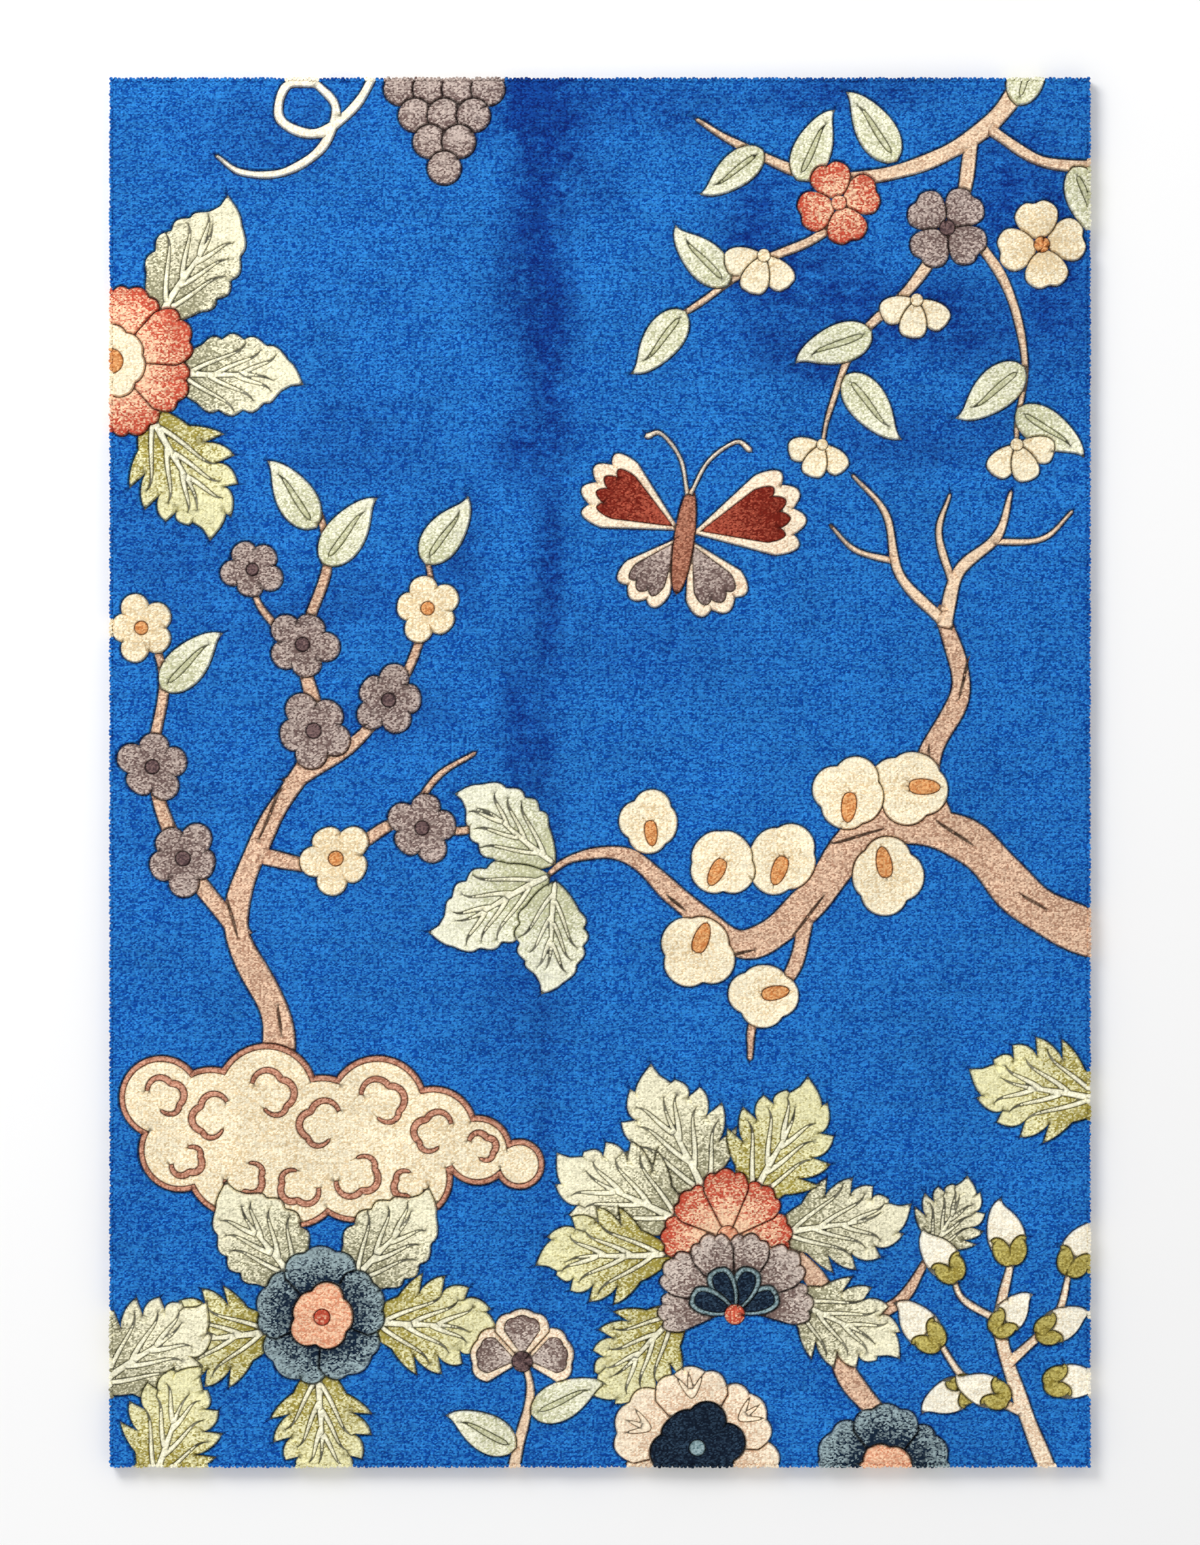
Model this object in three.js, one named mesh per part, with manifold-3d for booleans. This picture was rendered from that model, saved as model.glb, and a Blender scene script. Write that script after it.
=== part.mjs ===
// A Chinese Art Deco rug: a cut length of hand-knotted silky pile, lying flat.
// It is one solid. Flowering boughs, a cloud bank and a butterfly stand a little proud of the blue field,
// and a V-shaped groove is shorn into the pile along every motif's edge.
// X runs across the rug, Y along it and Z up from the floor, with the origin under its middle. Millimetres.
import * as THREE from 'three';
import { mergeVertices } from 'three/addons/utils/BufferGeometryUtils.js';
import Module from 'manifold-3d';

const wasm = await Module();
wasm.setup();

// Driving sizes of the rug.
const WIDTH = 706;
const LENGTH = 1000;
const FIELD_TOP = 11;
const MOTIF_TOP = 12;

// The shorn groove: how deep it goes below the field, and how far it slopes to each side of a motif's edge.
// Eighths and quarters are exact in 32-bit numbers, so the groove's two walls meet in one line.
const GROOVE_DEPTH = 3.25;
const GROOVE_OUTWARD = 1.25;
const GROOVE_INWARD = 1;

// A soft trough from long folding, along the whole length.
const CREASE_X = -40;
const CREASE_DEPTH = 0.8;
const CREASE_HALF_WIDTH = 9;

// How finely outlines are drawn: the pace along a branch, and points on the side of a leaf or a
// bud, round a cloud and on a petal's rim.
const BRANCH_PACE = 42;
const TENDRIL_PACE = 17;
const BLADE_STEPS = 4;
const BUD_STEPS = 3;
const CLOUD_POINTS = 8;
const LOBE_POINTS = 3;

// Where each tooth of a cut leaf starts and ends, as shares of its rib.
const TEETH = [[0.3, 0.47], [0.5, 0.66], [0.7, 0.86]];

// ---------------------------------------------------------------- tables

/** Rows as objects with the named columns. */
function table(columns, rows) {
  const names = columns.split(' ');
  return rows.map((row) => Object.fromEntries(names.map((name, i) => [name, row[i]])));
}

const KNOT = 'x y width';
const LEAF = 'x y length width turn bend';
const FLOWER = 'x y radius turn';

const SPRAY_BRANCHES = [
  [[318, 520, 16], [282, 468, 13], [226, 436, 11], [160, 428, 9], [100, 452, 6], [70, 470, 3]],
  [[268, 456, 10], [258, 404, 10], [226, 352, 8], [186, 312, 6], [166, 262, 4], [160, 236, 2.5]],
  [[196, 430, 8], [160, 388, 7], [112, 366, 6], [66, 334, 4.5], [34, 318, 2.5]],
  [[258, 400, 8], [292, 352, 7], [306, 296, 5], [300, 246, 3.5], [306, 222, 2]],
  [[360, 436, 9], [318, 440, 8], [282, 462, 8]],
];
const SPRAY_LEAVES = table(LEAF, [
  [214, 440, 62, 29, 128, -0.12],
  [142, 426, 58, 28, 60, 0.14],
  [118, 448, 56, 25, 212, 0.15],
  [196, 318, 60, 29, 205, -0.14],
  [176, 286, 62, 29, -46, -0.15],
  [92, 350, 58, 28, 128, 0.16],
  [62, 332, 60, 28, 226, 0.16],
  [306, 292, 62, 30, 214, 0.16],
  [300, 262, 60, 28, -38, 0.14],
  [340, 436, 62, 29, -62, -0.12],
  [300, 480, 60, 28, 70, 0.12],
]);
const SPRAY_BLOSSOMS = table(FLOWER, [
  [172, 410, 31, 18],
  [250, 392, 32, 50],
  [318, 380, 33, 10],
]);
const SPRAY_BUDS = table(FLOWER, [
  [118, 372, 29, 250],
  [228, 340, 28, 262],
  [300, 236, 28, 290],
  [160, 236, 25, 250],
]);

const TENDRIL = [
  [[-158, 512, 6], [-176, 480, 7], [-204, 460, 7.5], [-230, 470, 7], [-226, 494, 6.5], [-204, 496, 6]],
  [[-204, 496, 6], [-190, 478, 6.5], [-200, 450, 7], [-228, 432, 6], [-258, 432, 5], [-276, 444, 2.5]],
];
const BUNCH = { x: -112, top: 492, pitch: 21, drop: 19, rows: 4 };

const EDGE_BLOOM = { x: -352, y: 296, radius: 60, turn: 0 };
const EDGE_BLOOM_LEAVES = table(LEAF, [
  [-320, 322, 104, 66, 62, -0.16],
  [-312, 288, 96, 60, -6, 0.14],
  [-326, 264, 104, 66, -66, 0.16],
]);

const BUTTERFLY = { x: 62, y: 172 };
const WINGS = table('dx dy length turn spread', [
  [2, -4, 60, -62, 62],
  [-4, -2, 58, -128, 56],
  [4, 0, 84, 14, 58],
  [-4, 2, 78, 150, 56],
]);

const PLUM_TREE = [
  [[-238, -250, 26], [-232, -180, 22], [-262, -110, 18], [-240, -40, 15], [-204, 24, 12], [-214, 90, 9],
    [-196, 150, 7], [-204, 196, 4]],
  [[-256, -120, 14], [-300, -62, 11], [-322, 2, 9], [-314, 66, 7], [-330, 118, 4]],
  [[-226, -10, 11], [-176, 22, 9], [-140, 70, 7], [-122, 128, 5], [-128, 168, 3]],
  [[-246, -60, 12], [-196, -66, 10], [-146, -36, 8], [-98, -42, 6], [-66, -22, 3]],
  [[-212, 84, 6], [-246, 122, 5], [-250, 160, 3]],
  [[-140, -38, 6], [-118, -4, 5], [-90, 14, 3]],
];
const PLUM_LEAVES = table(LEAF, [
  [-316, 60, 60, 29, 40, 0.14],
  [-200, 150, 62, 30, 48, 0.14],
  [-204, 176, 60, 29, 128, -0.12],
  [-126, 150, 58, 28, 60, -0.15],
]);
const PLUM_BLOSSOMS = table(FLOWER, [
  [-300, -62, 26, 20],
  [-322, 4, 25, 50],
  [-330, 104, 24, 0],
  [-206, 30, 27, 12],
  [-152, 52, 25, 40],
  [-124, 118, 24, 66],
  [-214, 92, 25, 30],
  [-190, -62, 26, 8],
  [-128, -40, 25, 44],
  [-250, 146, 22, 10],
]);

const BOUGH = [
  [[380, -128, 34], [312, -96, 32], [262, -48, 30], [196, -40, 27], [152, -92, 25], [104, -124, 21],
    [58, -92, 16], [20, -60, 11], [-20, -62, 6], [-44, -80, 3]],
  [[250, -52, 20], [236, 6, 17], [260, 60, 14], [246, 116, 11]],
  [[150, -92, 12], [140, -140, 10], [112, -176, 7], [108, -206, 4]],
];
const BARE_TWIGS = [
  [[248, 104, 11], [258, 144, 9], [286, 170, 7], [296, 202, 3]],
  [[248, 108, 9], [216, 142, 7], [206, 186, 5], [182, 214, 2.5]],
  [[254, 136, 6], [244, 172, 5], [252, 200, 2.5]],
  [[280, 166, 5], [318, 168, 4], [340, 188, 2.5]],
  [[212, 152, 5], [184, 160, 4], [166, 178, 2.2]],
];
const MAGNOLIAS = table(FLOWER, [
  [224, -10, 27, 178],
  [180, -16, 26, 84],
  [132, -62, 26, 70],
  [206, -74, 27, -80],
  [88, -64, 25, 62],
  [70, -128, 27, -110],
  [36, -36, 22, 96],
  [118, -160, 24, 190],
]);
const BOUGH_LEAVES = table(LEAF, [
  [-32, -66, 86, 56, 146, -0.15],
  [-36, -74, 94, 60, 204, 0.16],
  [-32, -78, 80, 54, 262, 0.14],
]);

const CLOUD_RIM = 4.2;
const CLOUDS = table('x y radius', [
  [-316, -234, 26],
  [-280, -246, 30],
  [-240, -232, 33],
  [-200, -254, 32],
  [-160, -240, 32],
  [-120, -258, 28],
  [-88, -272, 21],
  [-262, -284, 32],
  [-220, -292, 32],
  [-176, -286, 34],
  [-136, -292, 26],
  [-302, -272, 26],
  [-58, -282, 14],
]);

const SLATE_LEAVES = table(LEAF, [
  [-214, -374, 94, 64, 124, 0.14],
  [-184, -374, 94, 62, 52, -0.14],
  [-172, -394, 98, 62, -8, 0.14],
  [-228, -400, 96, 62, 192, -0.14],
  [-202, -424, 92, 62, 268, 0.14],
]);
const SLATE_BLOOM = { x: -200, y: -392, radius: 49, turn: 20 };

const PEONY_STEMS = [
  [[120, -330, 12], [160, -372, 15], [176, -430, 16], [204, -470, 15], [214, -520, 15]],
  [[172, -400, 10], [214, -382, 9], [236, -350, 5]],
];
const PEONY_LEAVES = table(LEAF, [
  [82, -318, 114, 70, 112, 0.12],
  [66, -328, 108, 66, 150, 0.14],
  [104, -318, 106, 66, 66, -0.12],
  [122, -334, 102, 58, 14, -0.16],
  [54, -346, 98, 60, 186, -0.14],
  [130, -374, 96, 56, -30, 0.12],
  [62, -384, 92, 58, 222, 0.12],
  [236, -352, 66, 44, 66, -0.12],
]);
const CORAL_PEONY = { x: 92, y: -336, radius: 49, turn: 92, sweep: 214, petals: 5 };
const MAUVE_PEONY = { x: 97, y: -386, radius: 58, turn: 94, sweep: 214, petals: 6 };
const PEONY_HEART = { x: 97, y: -388, radius: 34, turn: 91, sweep: 184, petals: 4 };
const CREAM_BLOOM = { x: 70, y: -486, radius: 60, turn: 96, sweep: 310, petals: 5 };
const NAVY_HEART = { x: 70, y: -486, radius: 32, turn: 40 };
const HEM_BLOOM = { x: 206, y: -504, radius: 50, turn: 90, sweep: 330, petals: 5 };

const MAUVE_STEM = [[[-66, -520, 9], [-58, -482, 8], [-50, -446, 6], [-56, -420, 4]]];
const MAUVE_BLOOM = { x: -56, y: -424, radius: 38, turn: 90, sweep: 236, petals: 3 };
const MAUVE_LEAVES = table(LEAF, [
  [-50, -462, 58, 28, 20, 0.14],
  [-60, -486, 56, 28, 158, -0.14],
]);

const BUD_STALKS = [
  [[330, -520, 13], [306, -460, 11], [288, -400, 9], [296, -352, 5]],
  [[306, -462, 7], [266, -440, 6], [244, -410, 4]],
  [[296, -424, 7], [328, -392, 6], [338, -360, 4]],
  [[290, -396, 6], [262, -380, 5], [254, -362, 3.5]],
];
const WHITE_BUDS = table('x y length turn bend', [
  [296, -352, 46, 96, 0.2],
  [244, -412, 44, 140, -0.2],
  [338, -360, 44, 70, -0.2],
  [256, -364, 42, 120, 0.2],
  [268, -440, 42, 214, -0.2],
  [316, -404, 40, 18, 0.2],
  [322, -440, 42, 10, -0.2],
  [284, -402, 38, 40, 0.2],
  [292, -452, 40, 150, 0.2],
]);

const CORNER_LEAVES = table(LEAF, [
  [-368, -446, 104, 66, 38, -0.12],
  [-326, -520, 98, 62, 66, 0.12],
  [370, -238, 104, 64, 166, 0.12],
]);

// ---------------------------------------------------------------- outlines

const radians = THREE.MathUtils.degToRad;

/** The point at a distance and a bearing from (x, y). */
function polar(x, y, radius, turn) {
  const angle = radians(turn);
  return new THREE.Vector2(x + radius * Math.cos(angle), y + radius * Math.sin(angle));
}

/** Half-width of a leaf along its rib: 0 at both ends and 1 at its widest. */
function swell(t, rise, fall) {
  const peak = rise / (rise + fall);
  return (t ** rise * (1 - t) ** fall) / (peak ** rise * (1 - peak) ** fall);
}

/** A point beside a leaf's bending rib: a share t along it, and a distance to its left. */
function besideRib({ x, y, length, turn, bend }, t, left) {
  const along = new THREE.Vector2(length * t, bend * length * t * t);
  const normal = new THREE.Vector2(-2 * bend * t, 1).normalize();
  const point = along.addScaledVector(normal, left).rotateAround(new THREE.Vector2(), radians(turn));
  return point.add(new THREE.Vector2(x, y));
}

/** A leaf with smooth edges, from its base along one side to the tip and back. */
function blade(leaf, rise = 0.6, fall = 1.0, steps = BLADE_STEPS) {
  const points = [];
  for (let i = 0; i < 2 * steps; i += 1) {
    const t = 1 - Math.abs(1 - i / steps);
    const side = i < steps ? 1 : -1;
    points.push(besideRib(leaf, t, (side * leaf.width * swell(t, rise, fall)) / 2));
  }
  return points;
}

/** A peony's leaf: a smooth base, three teeth on each side that point forward, and a long tip. */
function toothedLeaf(leaf, bite = 0.24) {
  const half = leaf.width / 2;
  const sides = [1, -1].map((side) => TEETH.flatMap(([start, end]) => [
    besideRib(leaf, start, side * half * (1 - bite) * swell(start, 0.8, 0.85)),
    besideRib(leaf, end, side * half * 1.22 * swell(end, 0.8, 0.85)),
  ]));
  return [besideRib(leaf, 0, 0), ...sides[0], besideRib(leaf, 1.03, 0), ...sides[1].reverse()];
}

/** A blossom seen from the front, its rim swelling out once for each petal. */
function rosette({ x, y, radius, turn }, petals, notch) {
  const count = petals * LOBE_POINTS;
  return Array.from({ length: count }, (_, i) => {
    const phase = (i / LOBE_POINTS) % 1;
    const reach = radius * (1 - notch * Math.abs(2 * phase - 1) ** 2);
    return polar(x, y, reach, turn + (360 * i) / count);
  });
}

/** Part of a bloom, its petals spread from one root: a fan with a scalloped rim. */
function fan({ x, y, radius, turn, sweep, petals }, notch = 0.1) {
  const count = petals * LOBE_POINTS;
  const rim = Array.from({ length: count + 1 }, (_, i) => {
    const phase = (i / LOBE_POINTS) % 1;
    const reach = radius * (1 - notch * Math.abs(2 * phase - 1) ** 2);
    return polar(x, y, reach, turn + sweep * (i / count - 0.5));
  });
  return [new THREE.Vector2(x, y), ...rim];
}

function disc(x, y, radius, count) {
  return Array.from({ length: count }, (_, i) => polar(x, y, radius, (360 * i) / count));
}

/** A branch or stem that tapers through its knots, each an x, a y and a width. */
function stroke(knots, pace = BRANCH_PACE) {
  const path = table(KNOT, knots);
  const spine = new THREE.CatmullRomCurve3(path.map(({ x, y, width }) => new THREE.Vector3(x, y, width)));
  const steps = Math.max(2, Math.round(spine.getLength() / pace));
  const left = [];
  const right = [];
  for (let i = 0; i <= steps; i += 1) {
    const at = spine.getPoint(i / steps);
    const along = spine.getTangent(i / steps);
    const across = new THREE.Vector2(-along.y, along.x).setLength(at.z / 2);
    left.push(new THREE.Vector2(at.x, at.y).add(across));
    right.unshift(new THREE.Vector2(at.x, at.y).sub(across));
  }
  return [...left, ...right];
}

/** A blossom seen from the side: three petals from one root. */
function sideBlossom(flower) {
  return fan({ ...flower, sweep: 170, petals: 3 }, 0.3);
}

/** A hanging bunch of round florets, one fewer in each row, its sides swelling out at every row. */
function bunch({ x, top, pitch, drop, rows }) {
  const [left, right] = [-1, 1].map((side) => Array.from({ length: rows }, (_, row) => {
    const half = (side * (rows - row) * pitch) / 2;
    const middle = top - row * drop;
    return [0.35, -0.35].map((lift) => new THREE.Vector2(x + half, middle + lift * drop));
  }).flat());
  return [...left, ...right.reverse()];
}

// ---------------------------------------------------------------- solids

/** A three.js geometry as a solid that can be joined and cut. */
function solidOf(geometry) {
  geometry.deleteAttribute('normal');
  geometry.deleteAttribute('uv');
  const merged = mergeVertices(geometry);
  const mesh = new wasm.Mesh({
    numProp: 3,
    vertProperties: new Float32Array(merged.attributes.position.array),
    triVerts: new Uint32Array(merged.index.array),
  });
  return new wasm.Manifold(mesh);
}

/** An outline raised from `low` to `high`, with its walls sloping out or in as they rise. */
function sloped(outline, { low, high, lowGrow, highGrow }) {
  const points = THREE.ShapeUtils.isClockWise(outline) ? [...outline].reverse() : outline;
  const opening = highGrow > lowGrow;
  const geometry = new THREE.ExtrudeGeometry(new THREE.Shape(points), {
    depth: 1,
    bevelSegments: 1,
    bevelThickness: high - low,
    bevelSize: Math.abs(highGrow - lowGrow),
    bevelOffset: Math.min(highGrow, lowGrow),
  });
  return solidOf(geometry.translate(0, 0, opening ? high : low - 1));
}

const GROOVE = {
  low: FIELD_TOP - GROOVE_DEPTH,
  high: FIELD_TOP + GROOVE_DEPTH,
  lowGrow: 0,
  highGrow: 2 * GROOVE_OUTWARD,
};
const PLATEAU = {
  low: FIELD_TOP - GROOVE_DEPTH,
  high: MOTIF_TOP,
  lowGrow: 0,
  highGrow: -GROOVE_INWARD,
};

const joined = (solids) => solids.reduce((sum, solid) => sum.add(solid));

/** The rug with one more motif: its outlines share one top, and a groove runs round them. */
function withMotif(rug, outlines) {
  const groove = joined(outlines.map((outline) => sloped(outline, GROOVE)));
  const plateau = joined(outlines.map((outline) => sloped(outline, PLATEAU)));
  return rug.subtract(groove).add(plateau);
}

/** Every motif as a list of outlines that run together, the lowest layer first. */
function motifs() {
  const apart = (outlines) => outlines.map((outline) => [outline]);
  const together = (outlines) => [outlines];
  const { x: bx, y: by } = BUTTERFLY;
  return [
    ...together(SPRAY_BRANCHES.map((knots) => stroke(knots))),
    ...apart(SPRAY_LEAVES.map((leaf) => blade(leaf))),
    ...apart(SPRAY_BLOSSOMS.map((flower) => rosette(flower, 4, 0.42))),
    ...apart(SPRAY_BUDS.map(sideBlossom)),
    ...together(TENDRIL.map((knots) => stroke(knots, TENDRIL_PACE))),
    ...apart([bunch(BUNCH)]),
    ...apart(EDGE_BLOOM_LEAVES.map((leaf) => toothedLeaf(leaf))),
    ...apart([rosette(EDGE_BLOOM, 8, 0.1)]),
    ...apart(WINGS.map(({ dx, dy, length, turn, spread }) =>
      fan({ x: bx + dx, y: by + dy, radius: length, turn, sweep: spread, petals: 2 }))),
    ...apart([blade({ x: bx - 7, y: by - 44, length: 78, width: 15, turn: 82, bend: 0 }, 0.5, 0.5)]),
    ...together(PLUM_TREE.map((knots) => stroke(knots))),
    ...apart(PLUM_LEAVES.map((leaf) => blade(leaf))),
    ...apart(PLUM_BLOSSOMS.map((flower) => rosette(flower, 5, 0.26))),
    ...together(BOUGH.map((knots) => stroke(knots))),
    ...together(BARE_TWIGS.map((knots) => stroke(knots))),
    ...apart(MAGNOLIAS.map((flower) => rosette(flower, 4, 0.16))),
    ...apart(BOUGH_LEAVES.map((leaf) => toothedLeaf(leaf, 0.12))),
    ...together(CLOUDS.map(({ x, y, radius }) => disc(x, y, radius + CLOUD_RIM, CLOUD_POINTS))),
    ...apart(SLATE_LEAVES.map((leaf) => toothedLeaf(leaf))),
    ...apart([rosette(SLATE_BLOOM, 5, 0.14)]),
    ...together(PEONY_STEMS.map((knots) => stroke(knots))),
    ...apart(PEONY_LEAVES.map((leaf) => toothedLeaf(leaf))),
    ...apart([fan(CORAL_PEONY), fan(MAUVE_PEONY)]),
    ...apart([fan(PEONY_HEART, 0.3)]),
    ...apart([fan(CREAM_BLOOM), rosette(NAVY_HEART, 6, 0.14), fan(HEM_BLOOM)]),
    ...together(MAUVE_STEM.map((knots) => stroke(knots))),
    ...apart([fan(MAUVE_BLOOM)]),
    ...apart(MAUVE_LEAVES.map((leaf) => blade(leaf))),
    ...together(BUD_STALKS.map((knots) => stroke(knots))),
    ...apart(WHITE_BUDS.map((bud) => blade({ ...bud, width: 0.6 * bud.length }, 0.6, 0.95, BUD_STEPS))),
    ...apart(CORNER_LEAVES.map((leaf) => toothedLeaf(leaf))),
  ];
}

/** The trough: a long wedge, wide at the top, that is cut out of the pile. */
function crease() {
  const rise = 2 * CREASE_DEPTH + MOTIF_TOP - FIELD_TOP;
  const halfWidth = (CREASE_HALF_WIDTH * rise) / CREASE_DEPTH;
  const section = new THREE.Shape([
    new THREE.Vector2(0, 0),
    new THREE.Vector2(halfWidth, rise),
    new THREE.Vector2(-halfWidth, rise),
  ]);
  const wedge = new THREE.ExtrudeGeometry(section, { depth: 2 * LENGTH, bevelEnabled: false });
  wedge.rotateX(Math.PI / 2).translate(CREASE_X, LENGTH, FIELD_TOP - CREASE_DEPTH);
  return solidOf(wedge);
}

function rugSolid() {
  const slab = new THREE.BoxGeometry(WIDTH, LENGTH, FIELD_TOP).translate(0, 0, FIELD_TOP / 2);
  const bounds = new THREE.BoxGeometry(WIDTH, LENGTH, 4 * MOTIF_TOP);
  const pile = motifs().reduce(withMotif, solidOf(slab));
  return pile.intersect(solidOf(bounds)).subtract(crease());
}

/** A solid's surface as a three.js geometry. */
function geometryOf(solid) {
  const { vertProperties, triVerts } = solid.getMesh();
  const geometry = new THREE.BufferGeometry();
  geometry.setAttribute('position', new THREE.BufferAttribute(vertProperties, 3));
  geometry.setIndex(new THREE.BufferAttribute(triVerts, 1));
  geometry.computeVertexNormals();
  return geometry;
}

const pileMaterial = new THREE.MeshStandardMaterial({ color: 0x1e64b4, roughness: 0.85, metalness: 0 });
const rug = new THREE.Mesh(geometryOf(rugSolid()), pileMaterial);
rug.name = 'rug';

const group = new THREE.Group();
group.add(rug);

export default group;
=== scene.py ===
"""The looks of a Chinese Art Deco rug: hand-knotted silky pile with a shorn design, flat on a pale floor.

The design is a list of motifs, the lowest layer first. A motif is a few outlines in one pair of yarns,
which run together where they overlap. The pile is one mesh whose edges follow every outline that shows,
with a V-shaped groove shorn along each. Its colours are knots of a light and a deep yarn, mixed in the
share that the motif asks for. Sizes are in millimetres until a mesh is made, and turns are in degrees.
X runs across the rug, Y along it and Z up from the floor.
"""

import math
from collections import namedtuple

import bpy
import numpy as np
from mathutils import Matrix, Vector
from mathutils.geometry import delaunay_2d_cdt
from mathutils.kdtree import KDTree


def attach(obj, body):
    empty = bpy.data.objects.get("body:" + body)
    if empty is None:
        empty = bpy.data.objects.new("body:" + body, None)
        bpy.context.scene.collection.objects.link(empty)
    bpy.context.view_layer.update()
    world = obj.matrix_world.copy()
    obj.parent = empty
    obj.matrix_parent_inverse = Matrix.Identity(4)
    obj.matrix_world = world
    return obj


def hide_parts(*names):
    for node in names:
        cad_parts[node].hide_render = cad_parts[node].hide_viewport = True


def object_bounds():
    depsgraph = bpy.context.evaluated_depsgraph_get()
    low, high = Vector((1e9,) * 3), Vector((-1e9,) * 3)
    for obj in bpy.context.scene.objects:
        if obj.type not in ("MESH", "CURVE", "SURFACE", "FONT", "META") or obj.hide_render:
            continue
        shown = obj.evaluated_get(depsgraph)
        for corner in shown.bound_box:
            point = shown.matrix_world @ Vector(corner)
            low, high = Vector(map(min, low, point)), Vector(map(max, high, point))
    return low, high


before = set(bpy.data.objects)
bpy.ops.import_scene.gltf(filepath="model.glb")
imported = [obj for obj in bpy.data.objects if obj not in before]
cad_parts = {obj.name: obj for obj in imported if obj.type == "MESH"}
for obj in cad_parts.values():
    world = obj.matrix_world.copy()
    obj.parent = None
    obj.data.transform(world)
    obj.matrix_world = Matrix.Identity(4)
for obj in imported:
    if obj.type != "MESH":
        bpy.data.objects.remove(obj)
cad_low, cad_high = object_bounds()

MM = 0.001

# The rug's size comes from its solid: 706 x 1000 mm, with the motifs' pile 12 mm high.
WIDTH = (cad_high.x - cad_low.x) / MM
LENGTH = (cad_high.y - cad_low.y) / MM
MOTIF_TOP = (cad_high.z - cad_low.z) / MM
FIELD_TOP = MOTIF_TOP - 1.0  # the motifs stand a little proud of the field
BACKING = 2.2                # thickness of the knotted cotton foundation
KNOT_ACROSS = WIDTH / 258
KNOT_ALONG = LENGTH / 339


def new_object(name, data):
    """An object in the scene."""
    item = bpy.data.objects.new(name, data)
    bpy.context.scene.collection.objects.link(item)
    return item


# ------------------------------------------------------------------ camera

FRAME_PIXELS_HIGH = 1545
RUG_PIXELS_LONG = 1390       # the rug's length in that frame
LENS, SENSOR = 100.0, 36.0


def make_camera():
    """Straight above the middle of the rug, far enough away for a plain flat view."""
    seen_length = LENGTH * MM * FRAME_PIXELS_HIGH / RUG_PIXELS_LONG
    height = seen_length * LENS / SENSOR + FIELD_TOP * MM
    data = bpy.data.cameras.new("camera")
    data.lens = LENS
    data.sensor_width = SENSOR
    data.clip_end = 3 * height
    camera = new_object("camera", data)
    camera.location = (0, 0, height)
    bpy.context.scene.camera = camera


make_camera()

# ------------------------------------------------------------------ the design's tables

Leaf = namedtuple("Leaf", "x y length width turn bend")
Flower = namedtuple("Flower", "x y radius turn")
Bloom = namedtuple("Bloom", "x y radius turn sweep petals")
Curl = namedtuple("Curl", "x y radius turn sweep")
Mark = namedtuple("Mark", "x y across along turn depth")


def rows(kind, *lines):
    """A table's lines as tuples with named fields."""
    return [kind(*line) for line in lines]


# A branch is a list of knots, each an x, a y and a width.
SPRAY_BRANCHES = [
    [[318, 520, 16], [282, 468, 13], [226, 436, 11], [160, 428, 9], [100, 452, 6], [70, 470, 3]],
    [[268, 456, 10], [258, 404, 10], [226, 352, 8], [186, 312, 6], [166, 262, 4], [160, 236, 2.5]],
    [[196, 430, 8], [160, 388, 7], [112, 366, 6], [66, 334, 4.5], [34, 318, 2.5]],
    [[258, 400, 8], [292, 352, 7], [306, 296, 5], [300, 246, 3.5], [306, 222, 2]],
    [[360, 436, 9], [318, 440, 8], [282, 462, 8]],
]
SPRAY_LEAVES = rows(
    Leaf,
    (214, 440, 62, 29, 128, -0.12),
    (142, 426, 58, 28, 60, 0.14),
    (118, 448, 56, 25, 212, 0.15),
    (196, 318, 60, 29, 205, -0.14),
    (176, 286, 62, 29, -46, -0.15),
    (92, 350, 58, 28, 128, 0.16),
    (62, 332, 60, 28, 226, 0.16),
    (306, 292, 62, 30, 214, 0.16),
    (300, 262, 60, 28, -38, 0.14),
    (340, 436, 62, 29, -62, -0.12),
    (300, 480, 60, 28, 70, 0.12),
)
SPRAY_BLOSSOMS = rows(Flower, (172, 410, 31, 18), (250, 392, 32, 50), (318, 380, 33, 10))
SPRAY_BUDS = rows(Flower, (118, 372, 29, 250), (228, 340, 28, 262), (300, 236, 28, 290), (160, 236, 25, 250))

TENDRIL = [
    [[-158, 512, 6], [-176, 480, 7], [-204, 460, 7.5], [-230, 470, 7], [-226, 494, 6.5], [-204, 496, 6]],
    [[-204, 496, 6], [-190, 478, 6.5], [-200, 450, 7], [-228, 432, 6], [-258, 432, 5], [-276, 444, 2.5]],
]
Bunch = namedtuple("Bunch", "x top pitch drop radius rows")
BUNCH = Bunch(-112, 492, 21, 19, 12.5, 4)

EDGE_BLOOM = Bloom(-352, 296, 60, 0, 360, 8)
EDGE_BLOOM_LEAVES = rows(
    Leaf, (-320, 322, 104, 66, 62, -0.16), (-312, 288, 96, 60, -6, 0.14), (-326, 264, 104, 66, -66, 0.16)
)

BUTTERFLY = (62, 172)
Wing = namedtuple("Wing", "dx dy length turn spread scallops yarn")
WINGS = rows(
    Wing,
    (2, -4, 60, -62, 62, 3, "taupe"),
    (-4, -2, 58, -128, 56, 3, "taupe"),
    (4, 0, 84, 14, 58, 4, "rust"),
    (-4, 2, 78, 150, 56, 4, "rust"),
)
FEELERS = [
    [[3, 28, 3], [16, 52, 3], [36, 66, 3], [46, 60, 4.5]],
    [[1, 28, 3], [-4, 54, 3], [-18, 72, 3], [-28, 70, 4.5]],
]

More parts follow.
